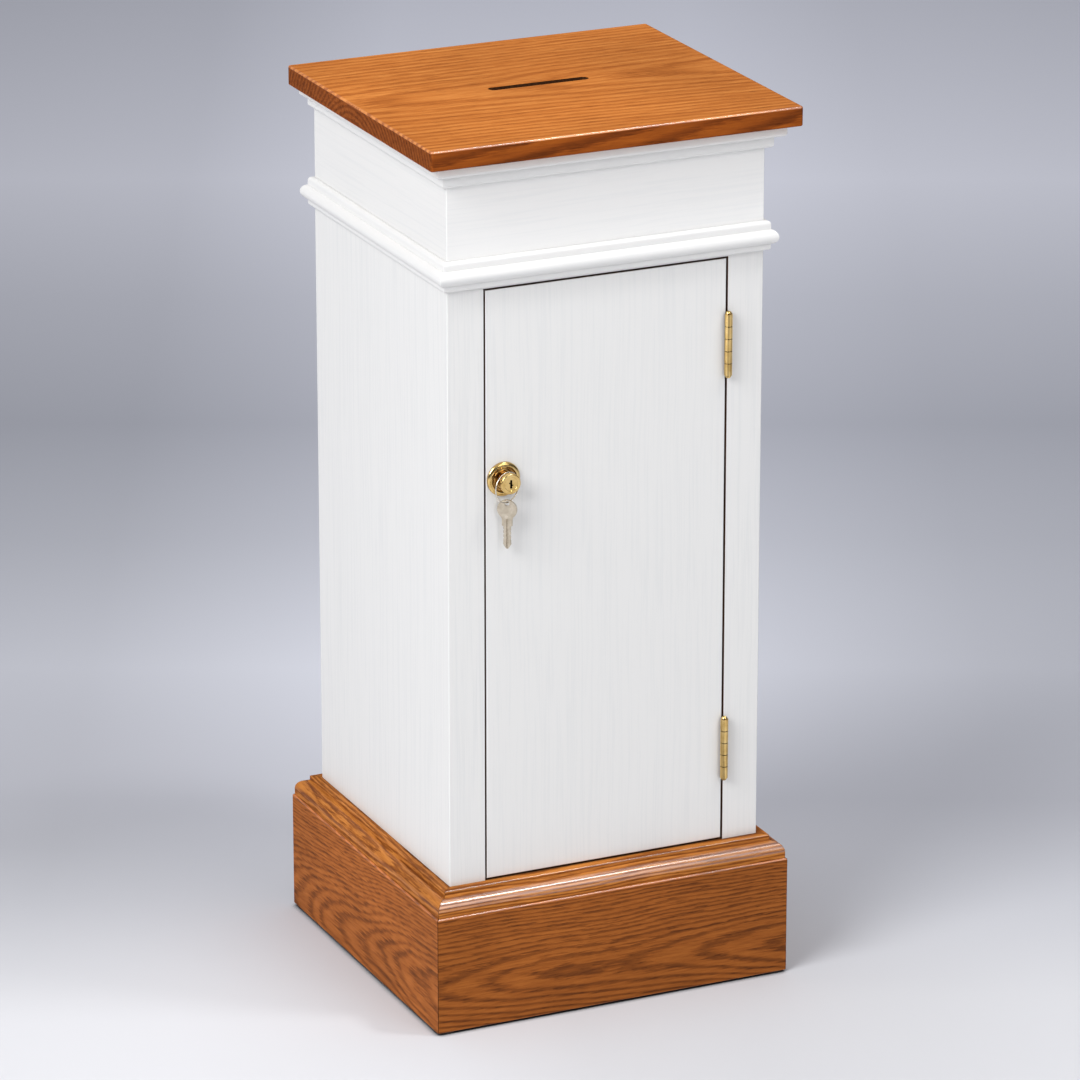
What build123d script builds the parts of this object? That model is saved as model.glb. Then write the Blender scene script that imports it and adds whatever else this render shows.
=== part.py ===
from build123d import *
import math
import os

os.makedirs("parts", exist_ok=True)

# A floor-standing tithe box. Millimetres, +Z up, the front faces -Y.
# The origin is on the floor, under the middle of the footprint.

# Case and lid
case_width = 340.0
case_depth = 326.0
board = 19.0
back_board = 12.0
lid_thickness = 20.0
lid_overhang = 28.0
lid_corner = 3.0
lid_ease = 1.8

# Heights, from the floor up
glide_height = 2.5
plinth_height = 122.5
cap_height = 23.0
door_gap = 2.0
door_height = 611.0
rail_reveal = 2.0
bead_height = 30.0
frieze_height = 74.5
crown_height = 24.5

# Front frame and door
stile_width = 38.5
door_ease = 0.8
stile_ease = 1.0
stop_gap = 0.3

# Plinth, base cap and glides
plinth_overhang = 24.0
plinth_arris = 1.5
case_foot = 3.0
cap_out = 22.2
cap_fillet_out = 10.0
cap_fillet_height = 4.5
cap_quirk = 1.7
cap_lower_edge = 5.6
glide_radius = 11.0

# Bead moulding: a torus between two fillets
bead_fillet_out = 5.5
bead_torus_out = 11.7
bead_lower_fillet = 6.5
bead_upper_fillet = 8.5
bead_lower_round = 3.0
bead_upper_round = 4.0

# Crown moulding: two stepped members
crown_lower_out = 6.8
crown_upper_out = 16.3
crown_upper_height = 12.2
crown_lower_round = 3.0
crown_upper_round = 3.5

# Collection slot
slot_length = 108.0
slot_width = 12.0
slot_offset = -4.5
slot_ease = 0.8

# Inside
bottom_thickness = 12.0
door_lap = 10.0
cleat = 15.0
lid_cleat_width = 25.0
lid_cleat_height = 22.0
stop_thickness = 8.0
stop_inset = 12.0

# Hinges
hinge_length = 63.5
hinge_from_door_top = 87.3
hinge_from_door_foot = 98.0
barrel_radius = 4.0
hinge_pin_radius = 1.6
leaf_thickness = 1.6
leaf_gap = 0.4
leaf_depth = 15.0
knuckles = 5
knuckle_gap = 0.3
pin_tip_height = 3.0
pin_tip_radius = 3.3
hinge_screw_pitch = 21.0
hinge_screw_length = 14.0

# Wood screws
screw_shank = 1.5
screw_head = 3.0
screw_tip = 4.0
screw_point = 0.3
screw_slot = 0.8
screw_slot_depth = 0.8
lid_screw_length = 34.0
lid_screw_inset = 40.0

# Lock
lock_backset = 18.5
lock_from_door_foot = 417.5
rosette_radius = 17.5
rosette_edge = 1.0
rosette_lip_width = 4.0
rosette_lip_height = 3.5
rosette_ring_width = 1.2
rosette_ring_step = 0.5
rosette_dish_height = 1.5
neck_radius = 8.0
head_radius = 10.5
head_back = 14.7
head_thickness = 4.5
head_round = 1.2
plug_radius = 6.0
plug_head_radius = 6.9
plug_head_depth = 3.0
plug_set_back = 0.2
keyway_width = 2.2
keyway_height = 8.6
keyway_depth = 25.0
keyway_notch_width = 1.2
keyway_notch_out = 2.2
keyway_notch_drop = 1.2
nut_across = 22.0
nut_thickness = 3.5
barrel_tail = 1.5
cam_thickness = 2.0
cam_width = 12.0
cam_reach = 31.0
cam_clearance = 1.5
cam_square = 7.0
cam_screw_radius = 1.9
cam_screw_head = 5.0
cam_screw_round = 1.0
cam_screw_head_height = 2.4
cam_screw_length = 8.0

# Key ring and key
ring_mean_radius = 15.3
ring_wire = 0.7
ring_yaw = 19.0
ring_out = 9.5
key_thickness = 2.0
key_yaw = 37.0
bow_radius = 10.0
bow_taper_angle = 34.0
key_hole_radius = 2.4
key_hole_wall = 1.5
key_hang_gap = 0.7
shoulder_width = 10.5
shoulder_top = 20.4
shoulder_length = 6.5
blade_width = 7.5
key_length = 50.4
arrow_width = 8.4
arrow_height = 5.0
arrow_flat = 2.1
arrow_neck = 1.0
key_groove_width = 1.4
key_groove_depth = 0.5
bit_depth = 1.1
bit_pitch = 4.2
bit_count = 3
bit_start = 4.0
bit_stagger = 1.5

# Fits
seat_fit = 0.1
running_fit = 0.05
moving_gap = 0.3

# Levels and faces that follow from the sizes above
plinth_top = glide_height + plinth_height
cap_top = plinth_top + cap_height
door_bottom = cap_top + door_gap
door_top = door_bottom + door_height
opening_top = door_top + door_gap
bead_bottom = opening_top + rail_reveal
bead_top = bead_bottom + bead_height
case_top = bead_bottom + bead_height / 2
crown_bottom = bead_top + frieze_height
lid_bottom = crown_bottom + crown_height
foot_z = glide_height + case_foot

case_right = case_width / 2
case_left = -case_right
case_front = -case_depth / 2 + (lid_overhang - plinth_overhang) / 2
case_back = case_front + case_depth
inner_right = case_right - board
inner_front = case_front + board
inner_back = case_back - back_board
opening_right = case_right - stile_width
door_right = opening_right - door_gap
door_thickness = board - stop_gap
lock_x = -door_right + lock_backset
lock_z = door_bottom + lock_from_door_foot

# Each side of the case: the corner where its run starts, the run's direction and the outward direction
SIDES = {
    "front": ((case_right, case_front), (-1, 0), (0, -1), case_width),
    "left": ((case_left, case_front), (0, 1), (-1, 0), case_depth),
    "back": ((case_left, case_back), (1, 0), (0, 1), case_width),
    "right": ((case_right, case_back), (0, -1), (1, 0), case_depth),
}


def block(low, high):
    """A board between two opposite corners."""
    with BuildPart() as board_piece:
        with BuildSketch(Plane.XY.offset(low[2])):
            with Locations(((low[0] + high[0]) / 2, (low[1] + high[1]) / 2)):
                Rectangle(high[0] - low[0], high[1] - low[1])
        extrude(amount=high[2] - low[2])
    return board_piece.part


def side_run(side, profile, reach, mitre_start=True, mitre_end=True):
    """A profile of (outward, height) carried along one side, mitred where it meets a neighbour."""
    corner, run, outward, length = SIDES[side]
    start = reach if mitre_start else 0.0
    end = reach if mitre_end else 0.0
    far_corner = (corner[0] + run[0] * length, corner[1] + run[1] * length, 0)
    section = Plane(origin=(corner[0], corner[1], 0), x_dir=(*outward, 0), z_dir=(*run, 0))
    with BuildPart() as piece:
        with BuildSketch(section.offset(-start)):
            add(profile)
        extrude(amount=length + start + end)
        if mitre_start:
            inward = (run[0] + outward[0], run[1] + outward[1], 0)
            split(bisect_by=Plane(origin=(corner[0], corner[1], 0), z_dir=inward), keep=Keep.TOP)
        if mitre_end:
            inward = (outward[0] - run[0], outward[1] - run[1], 0)
            split(bisect_by=Plane(origin=far_corner, z_dir=inward), keep=Keep.TOP)
    return piece.part


def save(part, name):
    """Labels a finished piece and writes its file."""
    part.label = name
    export_step(part, f"parts/{name}.step")


def wood_screw(length, fit=0.0, mode=Mode.ADD):
    """A countersunk screw under the current place, its head's face on it; with a fit, the hole for one."""
    top = (Align.CENTER, Align.CENTER, Align.MAX)
    shank = screw_shank + fit
    head = screw_head + fit
    Cylinder(shank, length - screw_tip, align=top, mode=mode)
    Cone(shank, head, head - shank, align=top, mode=mode)
    with Locations((0, 0, -(length - screw_tip))):
        Cone(screw_point + fit, shank, screw_tip + fit, align=top, mode=mode)


def screw_set(planes, length):
    """A group of slotted wood screws, one on each plane."""
    with BuildPart() as screws:
        with Locations(*planes):
            wood_screw(length)
        with Locations(*planes):
            Box(
                3 * screw_head,
                screw_slot,
                screw_slot_depth,
                align=(Align.CENTER, Align.CENTER, Align.MAX),
                mode=Mode.SUBTRACT,
            )
    return screws.part


# Plinth boards, with a chamfered arris, planted round the foot of the case
with BuildSketch() as plinth_profile:
    with Locations((plinth_overhang / 2, (glide_height + plinth_top) / 2)):
        Rectangle(plinth_overhang, plinth_height)
    chamfer(plinth_profile.vertices().sort_by_distance((plinth_overhang, plinth_top))[0], plinth_arris)

for side in SIDES:
    save(side_run(side, plinth_profile.sketch, plinth_overhang), f"plinth_{side}")

# Base cap: a fillet, a quirk and an ovolo over a plain edge
with BuildSketch() as cap_profile:
    with BuildLine():
        quirk = (cap_fillet_out + cap_quirk, cap_top - cap_fillet_height - cap_quirk)
        edge = (cap_out, plinth_top + cap_lower_edge)
        Polyline((0, plinth_top), (0, cap_top), (cap_fillet_out, cap_top))
        Polyline((cap_fillet_out, cap_top), (cap_fillet_out, cap_top - cap_fillet_height), quirk)
        ovolo_width = edge[0] - quirk[0]
        ovolo_rise = quirk[1] - edge[1]
        EllipticalCenterArc((quirk[0], edge[1]), ovolo_width, ovolo_rise, start_angle=0, arc_size=90)
        Polyline(edge, (cap_out, plinth_top), (0, plinth_top))
    make_face()

for side in SIDES:
    save(side_run(side, cap_profile.sketch, cap_out), f"base_cap_{side}")

# Bead moulding over the joint between case and frieze
with BuildSketch() as bead_profile:
    torus_low = bead_bottom + bead_lower_fillet
    torus_high = bead_top - bead_upper_fillet
    with BuildLine():
        Polyline((bead_fillet_out, torus_high), (bead_fillet_out, bead_top), (0, bead_top), (0, bead_bottom))
        Polyline((0, bead_bottom), (bead_fillet_out, bead_bottom), (bead_fillet_out, torus_low))
        ThreePointArc(
            (bead_fillet_out, torus_low),
            (bead_torus_out, (torus_low + torus_high) / 2),
            (bead_fillet_out, torus_high),
        )
    make_face()
    fillet(bead_profile.vertices().sort_by_distance((bead_fillet_out, bead_bottom))[0], bead_lower_round)
    fillet(bead_profile.vertices().sort_by_distance((bead_fillet_out, bead_top))[0], bead_upper_round)

for side in SIDES:
    save(side_run(side, bead_profile.sketch, bead_torus_out), f"bead_{side}")

# Frieze boards, mitred at the corners
with BuildSketch() as frieze_profile:
    with Locations((-board / 2, (case_top + lid_bottom) / 2)):
        Rectangle(board, lid_bottom - case_top)

for side in SIDES:
    save(side_run(side, frieze_profile.sketch, 0.0), f"frieze_{side}")

# Crown moulding under the lid, cut flush with the back of the case
with BuildSketch() as crown_profile:
    crown_step = lid_bottom - crown_upper_height
    with BuildLine():
        Polyline(
            (0, crown_bottom),
            (crown_lower_out, crown_bottom),
            (crown_lower_out, crown_step),
            (crown_upper_out, crown_step),
            (crown_upper_out, lid_bottom),
            (0, lid_bottom),
            close=True,
        )
    make_face()
    lower_corner = (crown_lower_out, crown_bottom)
    upper_corner = (crown_upper_out, crown_step)
    fillet(crown_profile.vertices().sort_by_distance(lower_corner)[0], crown_lower_round)
    fillet(crown_profile.vertices().sort_by_distance(upper_corner)[0], crown_upper_round)

save(side_run("front", crown_profile.sketch, crown_upper_out), "crown_front")
save(side_run("left", crown_profile.sketch, crown_upper_out, mitre_end=False), "crown_left")
save(side_run("right", crown_profile.sketch, crown_upper_out, mitre_start=False), "crown_right")

# Lid, with its collection slot. It overhangs the front and both sides, and is flush at the back.
lid_middle_y = (case_front - lid_overhang + case_back) / 2
slot_y = (case_front + case_back) / 2 + slot_offset
lid_cleat_inner = inner_right - lid_cleat_width
lid_cleat_bottom = lid_bottom - lid_cleat_height
lid_screw_x = inner_right - lid_cleat_width / 2
lid_screw_planes = [
    Plane(origin=(x, y, lid_cleat_bottom), z_dir=(0, 0, -1))
    for x in (-lid_screw_x, lid_screw_x)
    for y in (inner_front + lid_screw_inset, case_back - board - lid_screw_inset)
]

with BuildPart() as lid:
    with BuildSketch(Plane.XY.offset(lid_bottom)):
        with Locations((0, lid_middle_y)):
            RectangleRounded(case_width + 2 * lid_overhang, case_depth + lid_overhang, lid_corner)
    extrude(amount=lid_thickness)
    fillet(lid.faces().sort_by(Axis.Z)[-1].edges(), lid_ease)
    fillet(lid.faces().sort_by(Axis.Z)[0].edges(), lid_ease)
    with BuildSketch(Plane.XY.offset(lid_bottom)):
        with Locations((0, slot_y)):
            SlotOverall(slot_length, slot_width)
    extrude(amount=lid_thickness, mode=Mode.SUBTRACT)
    fillet(lid.faces().sort_by(Axis.Z)[-1].inner_wires()[0].edges(), slot_ease)
    with Locations(*lid_screw_planes):
        wood_screw(lid_screw_length, seat_fit, Mode.SUBTRACT)
save(lid.part, "lid")

# Cleats that hold the lid, one along each side inside the frieze, and their screws
for name, sign in (("lid_cleat_left", -1), ("lid_cleat_right", 1)):
    ends = sorted((sign * lid_cleat_inner, sign * inner_right))
    with BuildPart() as lid_cleat:
        add(block((ends[0], inner_front, lid_cleat_bottom), (ends[1], case_back - board, lid_bottom)))
        with Locations(*[plane for plane in lid_screw_planes if plane.origin.X * sign > 0]):
            wood_screw(lid_screw_length, seat_fit, Mode.SUBTRACT)
    save(lid_cleat.part, name)

save(screw_set(lid_screw_planes, lid_screw_length), "lid_screws")

# Case sides, back and the rails between the stiles
for name, sign in (("side_panel_left", -1), ("side_panel_right", 1)):
    ends = sorted((sign * inner_right, sign * case_right))
    save(block((ends[0], inner_front, foot_z), (ends[1], case_back, case_top)), name)

save(block((-inner_right, inner_back, foot_z), (inner_right, case_back, case_top)), "back_panel")
save(block((-opening_right, case_front, opening_top), (opening_right, inner_front, case_top)), "top_rail")
save(block((-opening_right, case_front, foot_z), (opening_right, inner_front, cap_top)), "lower_rail")

# Hinge places. The pin stands just in front of the case, over the middle of the gap beside the door.
pin_x = (opening_right + door_right) / 2
pin_y = case_front - barrel_radius - moving_gap
hinge_heights = {
    "upper": door_top - hinge_from_door_top,
    "lower": door_bottom + hinge_from_door_foot,
}
leaf_face = leaf_gap / 2
leaf_back = leaf_face + leaf_thickness
hinge_screw_planes = {
    sign: [
        Plane(origin=(pin_x + sign * leaf_face, case_front + leaf_depth / 2, z + step), z_dir=(-sign, 0, 0))
        for z in hinge_heights.values()
        for step in (-hinge_screw_pitch, 0, hinge_screw_pitch)
    ]
    for sign in (-1, 1)
}


def cut_mortises(sign):
    """Cuts the two leaf mortises and the screw holes from the piece on one side of the hinge gap."""
    edge = opening_right if sign > 0 else door_right
    floor = pin_x + sign * (leaf_back + seat_fit)
    for z in hinge_heights.values():
        with Locations(((edge + floor) / 2, case_front + (leaf_depth + seat_fit) / 2, z)):
            Box(abs(floor - edge), leaf_depth + seat_fit, hinge_length + 2 * seat_fit, mode=Mode.SUBTRACT)
    with Locations(*hinge_screw_planes[sign]):
        wood_screw(hinge_screw_length, seat_fit, Mode.SUBTRACT)


# Stiles, full height, laid over the front edges of the sides. The outer arris is eased.
for name, sign in (("stile_left", -1), ("stile_right", 1)):
    ends = sorted((sign * opening_right, sign * case_right))
    with BuildPart() as stile:
        add(block((ends[0], case_front, foot_z), (ends[1], inner_front, case_top)))
        arris = (sign * case_right, case_front, (foot_z + case_top) / 2)
        fillet(stile.edges().filter_by(Axis.Z).sort_by_distance(arris)[0], stile_ease)
        if sign > 0:
            cut_mortises(sign)
    save(stile.part, name)

# Door: a plain slab, flush with the stiles
lock_plane = Plane(origin=(lock_x, case_front, lock_z), x_dir=(1, 0, 0), z_dir=(0, 0, -1))
lock_axis = Axis((lock_x, case_front, lock_z), (0, -1, 0))

with BuildPart() as door_panel:
    add(block((-door_right, case_front, door_bottom), (door_right, case_front + door_thickness, door_top)))
    fillet(door_panel.faces().sort_by(Axis.Y)[0].edges(), door_ease)
    cut_mortises(-1)
    with Locations(Plane(origin=(lock_x, case_front, lock_z), z_dir=(0, -1, 0))):
        Hole(neck_radius + seat_fit, door_thickness)
save(door_panel.part, "door_panel")


def hinge_leaf(centre_z, sign):
    """One leaf: its plate in the gap and its own knuckles round the pin. The frame leaf is at sign 1."""
    low = centre_z - hinge_length / 2
    pitch = hinge_length / knuckles
    plate_x = pin_x + sign * (leaf_face + leaf_back) / 2
    own = range(0, knuckles, 2) if sign > 0 else range(1, knuckles, 2)
    with BuildPart() as leaf:
        with BuildSketch(Plane.XY.offset(low)):
            with Locations((plate_x, case_front + leaf_depth / 2)):
                Rectangle(leaf_thickness, leaf_depth)
        extrude(amount=hinge_length)
        for index in own:
            knuckle_low = low + index * pitch + (knuckle_gap / 2 if index > 0 else 0)
            knuckle_high = low + (index + 1) * pitch - (knuckle_gap / 2 if index < knuckles - 1 else 0)
            with BuildSketch(Plane.XY.offset(knuckle_low)):
                with Locations((pin_x, pin_y)):
                    Circle(barrel_radius)
                with Locations((plate_x, (pin_y + case_front) / 2)):
                    Rectangle(leaf_thickness, case_front - pin_y)
            extrude(amount=knuckle_high - knuckle_low)
        with BuildSketch(Plane.XY.offset(low)):
            with Locations((pin_x, pin_y)):
                Circle(hinge_pin_radius + running_fit)
        extrude(amount=hinge_length, mode=Mode.SUBTRACT)
        own_screws = [
            plane
            for plane in hinge_screw_planes[sign]
            if abs(plane.origin.Z - centre_z) < hinge_length
        ]
        with Locations(*own_screws):
            wood_screw(hinge_screw_length, seat_fit, Mode.SUBTRACT)
    return leaf.part


def hinge_pin(centre_z):
    """The pin, with a domed tip at each end."""
    end = hinge_length / 2
    section = Plane(origin=(pin_x, pin_y, centre_z), x_dir=(1, 0, 0), z_dir=(0, -1, 0))
    with BuildPart() as pin:
        with BuildSketch(section):
            with BuildLine():
                Polyline(
                    (0, end + pin_tip_height),
                    (0, -end - pin_tip_height),
                )
                for way in (-1, 1):
                    base = way * (end + running_fit)
                    shoulder = (
                        pin_tip_radius * math.sqrt(0.5),
                        base + way * (pin_tip_height - running_fit) * math.sqrt(0.5),
                    )
                    ThreePointArc((0, way * (end + pin_tip_height)), shoulder, (pin_tip_radius, base))
                    Line((pin_tip_radius, base), (hinge_pin_radius, base))
                Line((hinge_pin_radius, -end - running_fit), (hinge_pin_radius, end + running_fit))
            make_face()
        revolve(axis=Axis((pin_x, pin_y, centre_z), (0, 0, 1)))
    return pin.part


for place, centre_z in hinge_heights.items():
    save(hinge_leaf(centre_z, 1), f"{place}_hinge_frame_leaf")
    save(hinge_leaf(centre_z, -1), f"{place}_hinge_door_leaf")
    save(hinge_pin(centre_z), f"{place}_hinge_pin")

save(screw_set(hinge_screw_planes[1], hinge_screw_length), "hinge_frame_screws")
save(screw_set(hinge_screw_planes[-1], hinge_screw_length), "hinge_door_screws")

# Bottom panel on two cleats. Its front edge stops the door at the foot, as a strip does at the head.
panel_top = door_bottom + door_lap
panel_bottom = panel_top - bottom_thickness
save(block((-inner_right, inner_front, panel_bottom), (inner_right, inner_back, panel_top)), "bottom_panel")

for name, sign in (("bottom_cleat_left", -1), ("bottom_cleat_right", 1)):
    ends = sorted((sign * inner_right, sign * (inner_right - cleat)))
    save(block((ends[0], inner_front, panel_bottom - cleat), (ends[1], inner_back, panel_bottom)), name)

stop_low = (-opening_right + stop_inset, inner_front, door_top - door_lap)
stop_high = (opening_right - stop_inset, inner_front + stop_thickness, case_top)
save(block(stop_low, stop_high), "door_stop")

# Glides under the plinth's corners
with BuildPart() as glides:
    with BuildSketch():
        with Locations((0, (case_front + case_back) / 2)):
            with GridLocations(case_width + plinth_overhang, case_depth + plinth_overhang, 2, 2):
                Circle(glide_radius)
    extrude(amount=glide_height)
save(glides.part, "glides")

# Lock rosette: a thin turned plate, dished towards the neck, with stepped rings on its lip
with BuildPart() as lock_rosette:
    with BuildSketch(lock_plane):
        bore = neck_radius + seat_fit
        lip = rosette_radius - rosette_lip_width
        first_ring = lip - rosette_ring_width
        second_ring = first_ring - rosette_ring_width
        lip_rise = rosette_lip_height - rosette_edge
        with BuildLine():
            Polyline((bore, 0), (rosette_radius, 0), (rosette_radius, rosette_edge))
            EllipticalCenterArc((lip, rosette_edge), rosette_lip_width, lip_rise, start_angle=0, arc_size=90)
            Polyline(
                (lip, rosette_lip_height),
                (first_ring, rosette_lip_height),
                (first_ring, rosette_lip_height - rosette_ring_step),
                (second_ring, rosette_lip_height - rosette_ring_step),
                (second_ring, rosette_lip_height - 2 * rosette_ring_step),
                (bore + rosette_edge, rosette_dish_height),
                (bore, rosette_dish_height),
                (bore, 0),
            )
        make_face()
    revolve(axis=lock_axis)
save(lock_rosette.part, "lock_rosette")

# Lock housing: head, neck and the barrel that passes through the door
head_front = head_back + head_thickness
barrel_end = -(door_thickness + nut_thickness + barrel_tail)
plug_bore = plug_radius + running_fit
plug_head_bore = plug_head_radius + running_fit
with BuildPart() as lock_housing:
    with BuildSketch(lock_plane) as housing_section:
        with BuildLine():
            Polyline(
                (plug_bore, barrel_end),
                (neck_radius, barrel_end),
                (neck_radius, head_back),
                (head_radius, head_back),
                (head_radius, head_front),
                (plug_head_bore, head_front),
                (plug_head_bore, head_front - plug_head_depth),
                (plug_bore, head_front - plug_head_depth),
                close=True,
            )
        make_face()
        fillet(housing_section.vertices().sort_by_distance((head_radius, head_front))[0], head_round)
    revolve(axis=lock_axis)
save(lock_housing.part, "lock_housing")

# Hexagonal nut behind the door
with BuildPart() as lock_nut:
    with BuildSketch(Plane(origin=(lock_x, case_front + door_thickness, lock_z), z_dir=(0, 1, 0))):
        RegularPolygon(nut_across / 2, 6, major_radius=False)
        Circle(neck_radius + seat_fit, mode=Mode.SUBTRACT)
    extrude(amount=nut_thickness)
save(lock_nut.part, "lock_nut")

# Lock plug, with its keyway in front and a square for the cam behind
plug_front = head_front - plug_set_back
cam_front = case_front - barrel_end + moving_gap
plug_tail = barrel_end - moving_gap - cam_thickness + seat_fit
with BuildPart() as lock_plug:
    with BuildSketch(lock_plane):
        with BuildLine():
            Polyline(
                (0, barrel_end - moving_gap),
                (plug_radius, barrel_end - moving_gap),
                (plug_radius, head_front - plug_head_depth + running_fit),
                (plug_head_radius, head_front - plug_head_depth + running_fit),
                (plug_head_radius, plug_front),
                (0, plug_front),
                close=True,
            )
        make_face()
    revolve(axis=lock_axis)
    with BuildSketch(Plane(origin=(lock_x, cam_front, lock_z), z_dir=(0, 1, 0))):
        Rectangle(cam_square, cam_square)
    extrude(amount=cam_thickness - seat_fit)
    keyway_mouth = (lock_x, case_front - plug_front, lock_z)
    with BuildSketch(Plane(origin=keyway_mouth, x_dir=(1, 0, 0), z_dir=(0, -1, 0))):
        Rectangle(keyway_width, keyway_height)
        with Locations((keyway_notch_out / 2, -keyway_notch_drop)):
            Rectangle(keyway_notch_out, keyway_notch_width)
        with Locations((-keyway_notch_out / 2, keyway_notch_drop)):
            Rectangle(keyway_notch_out, keyway_notch_width)
    extrude(amount=-keyway_depth, mode=Mode.SUBTRACT)
    with Locations(Plane(origin=(lock_x, case_front - plug_tail, lock_z), z_dir=(0, 1, 0))):
        Hole(cam_screw_radius + seat_fit, cam_screw_length + 2 * seat_fit)
save(lock_plug.part, "lock_plug")

# Cam: hangs down when unlocked. A crank brings its tip close behind the stile.
cam_tip_front = inner_front + cam_clearance
crank_top = nut_across / math.sqrt(3) + cam_thickness
crank_drop = cam_front - cam_tip_front
crank_bottom = crank_top + crank_drop
crank_bend = cam_thickness * math.tan(math.radians(22.5))
cam_top = cam_width / 2
with BuildPart() as lock_cam:
    with BuildSketch(Plane(origin=(lock_x, 0, lock_z), x_dir=(0, 1, 0), z_dir=(1, 0, 0))):
        with BuildLine():
            Polyline(
                (cam_front, cam_top),
                (cam_front, -crank_top),
                (cam_tip_front, -crank_bottom),
                (cam_tip_front, -cam_reach),
                (cam_tip_front + cam_thickness, -cam_reach),
                (cam_tip_front + cam_thickness, -crank_bottom - crank_bend),
                (cam_front + cam_thickness, -crank_top - crank_bend),
                (cam_front + cam_thickness, cam_top),
                close=True,
            )
        make_face()
    extrude(amount=cam_width / 2, both=True)
    fillet(lock_cam.edges().filter_by(Axis.Y), cam_width / 4)
    with BuildSketch(Plane(origin=(lock_x, cam_front, lock_z), z_dir=(0, 1, 0))):
        Rectangle(cam_square + 2 * seat_fit, cam_square + 2 * seat_fit)
    extrude(amount=cam_thickness, mode=Mode.SUBTRACT)
save(lock_cam.part, "lock_cam")

# Screw that holds the cam on the plug's square
with BuildPart(Plane(origin=(lock_x, cam_front + cam_thickness, lock_z), z_dir=(0, 1, 0))) as cam_screw:
    Cylinder(cam_screw_head, cam_screw_head_height, align=(Align.CENTER, Align.CENTER, Align.MIN))
    fillet(cam_screw.faces().sort_by(Axis.Y)[-1].edges(), cam_screw_round)
    with Locations((0, 0, cam_screw_head_height)):
        Box(
            3 * cam_screw_head,
            screw_slot,
            screw_slot_depth,
            align=(Align.CENTER, Align.CENTER, Align.MAX),
            mode=Mode.SUBTRACT,
        )
    Cylinder(cam_screw_radius, cam_screw_length, align=(Align.CENTER, Align.CENTER, Align.MAX))
save(cam_screw.part, "cam_screw")

# Key ring: hangs on the neck, turned so that its right side is nearer the door
ring_lean = math.radians(ring_yaw)
ring_along = Vector(math.cos(ring_lean), math.sin(ring_lean), 0)
ring_normal = Vector(math.sin(ring_lean), -math.cos(ring_lean), 0)
ring_z = lock_z + neck_radius + moving_gap + ring_wire - ring_mean_radius
ring_centre = Vector(lock_x, case_front - ring_out, ring_z)
with BuildPart(Plane(origin=ring_centre, x_dir=ring_along, z_dir=ring_normal)) as key_ring:
    Torus(ring_mean_radius, ring_wire)
save(key_ring.part, "key_ring")

# Key: hangs by its hole on the bottom of the ring. Heights are from the middle of the ring's wire.
key_turn = math.radians(key_yaw)
key_face = Vector(-math.sin(key_turn), -math.cos(key_turn), 0)
key_across = Vector(math.cos(key_turn), -math.sin(key_turn), 0)
key_pivot = ring_centre - Vector(0, 0, ring_mean_radius)
key_plane = Plane(origin=key_pivot, x_dir=key_across, z_dir=key_face)
hole_drop = key_hole_radius - ring_wire - key_hang_gap
bow_top = key_hole_radius + key_hole_wall - hole_drop
bow_z = bow_top - bow_radius
taper = math.radians(bow_taper_angle)
taper_x = bow_radius * math.cos(taper)
taper_z = bow_z - bow_radius * math.sin(taper)
shoulder_z = bow_top - shoulder_top
blade_z = shoulder_z - shoulder_length
tip_z = bow_top - key_length
arrow_z = tip_z + arrow_height
with BuildPart() as key:
    with BuildSketch(key_plane):
        with Locations((0, bow_z)):
            Circle(bow_radius)
        with BuildLine():
            Polyline(
                (-taper_x, taper_z),
                (-shoulder_width / 2, shoulder_z),
                (-shoulder_width / 2, blade_z),
                (-blade_width / 2, blade_z),
                (-blade_width / 2, arrow_z + arrow_neck),
                (-arrow_width / 2, arrow_z),
                (-arrow_flat / 2, tip_z),
                (arrow_flat / 2, tip_z),
                (arrow_width / 2, arrow_z),
                (blade_width / 2, arrow_z + arrow_neck),
                (blade_width / 2, blade_z),
                (shoulder_width / 2, blade_z),
                (shoulder_width / 2, shoulder_z),
                (taper_x, taper_z),
                close=True,
            )
        make_face()
        with Locations((0, -hole_drop)):
            Circle(key_hole_radius, mode=Mode.SUBTRACT)
        for side in (-1, 1):
            bit_top = blade_z - bit_start - (bit_stagger if side > 0 else 0)
            bit_places = [(side * blade_width / 2, bit_top - bit_pitch * step) for step in range(bit_count)]
            with Locations(*bit_places):
                Rectangle(bit_depth * 2, bit_depth * 2, rotation=45, mode=Mode.SUBTRACT)
    extrude(amount=key_thickness / 2, both=True)
    for way in (-1, 1):
        with BuildSketch(key_plane.offset(way * key_thickness / 2)):
            with Locations((0, (shoulder_z + tip_z) / 2)):
                Rectangle(key_groove_width, shoulder_z - tip_z - 2 * key_groove_width)
        extrude(amount=-way * key_groove_depth, mode=Mode.SUBTRACT)
save(key.part, "key")
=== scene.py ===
import math

import bmesh
import bpy
from mathutils import Matrix, Vector


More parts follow.
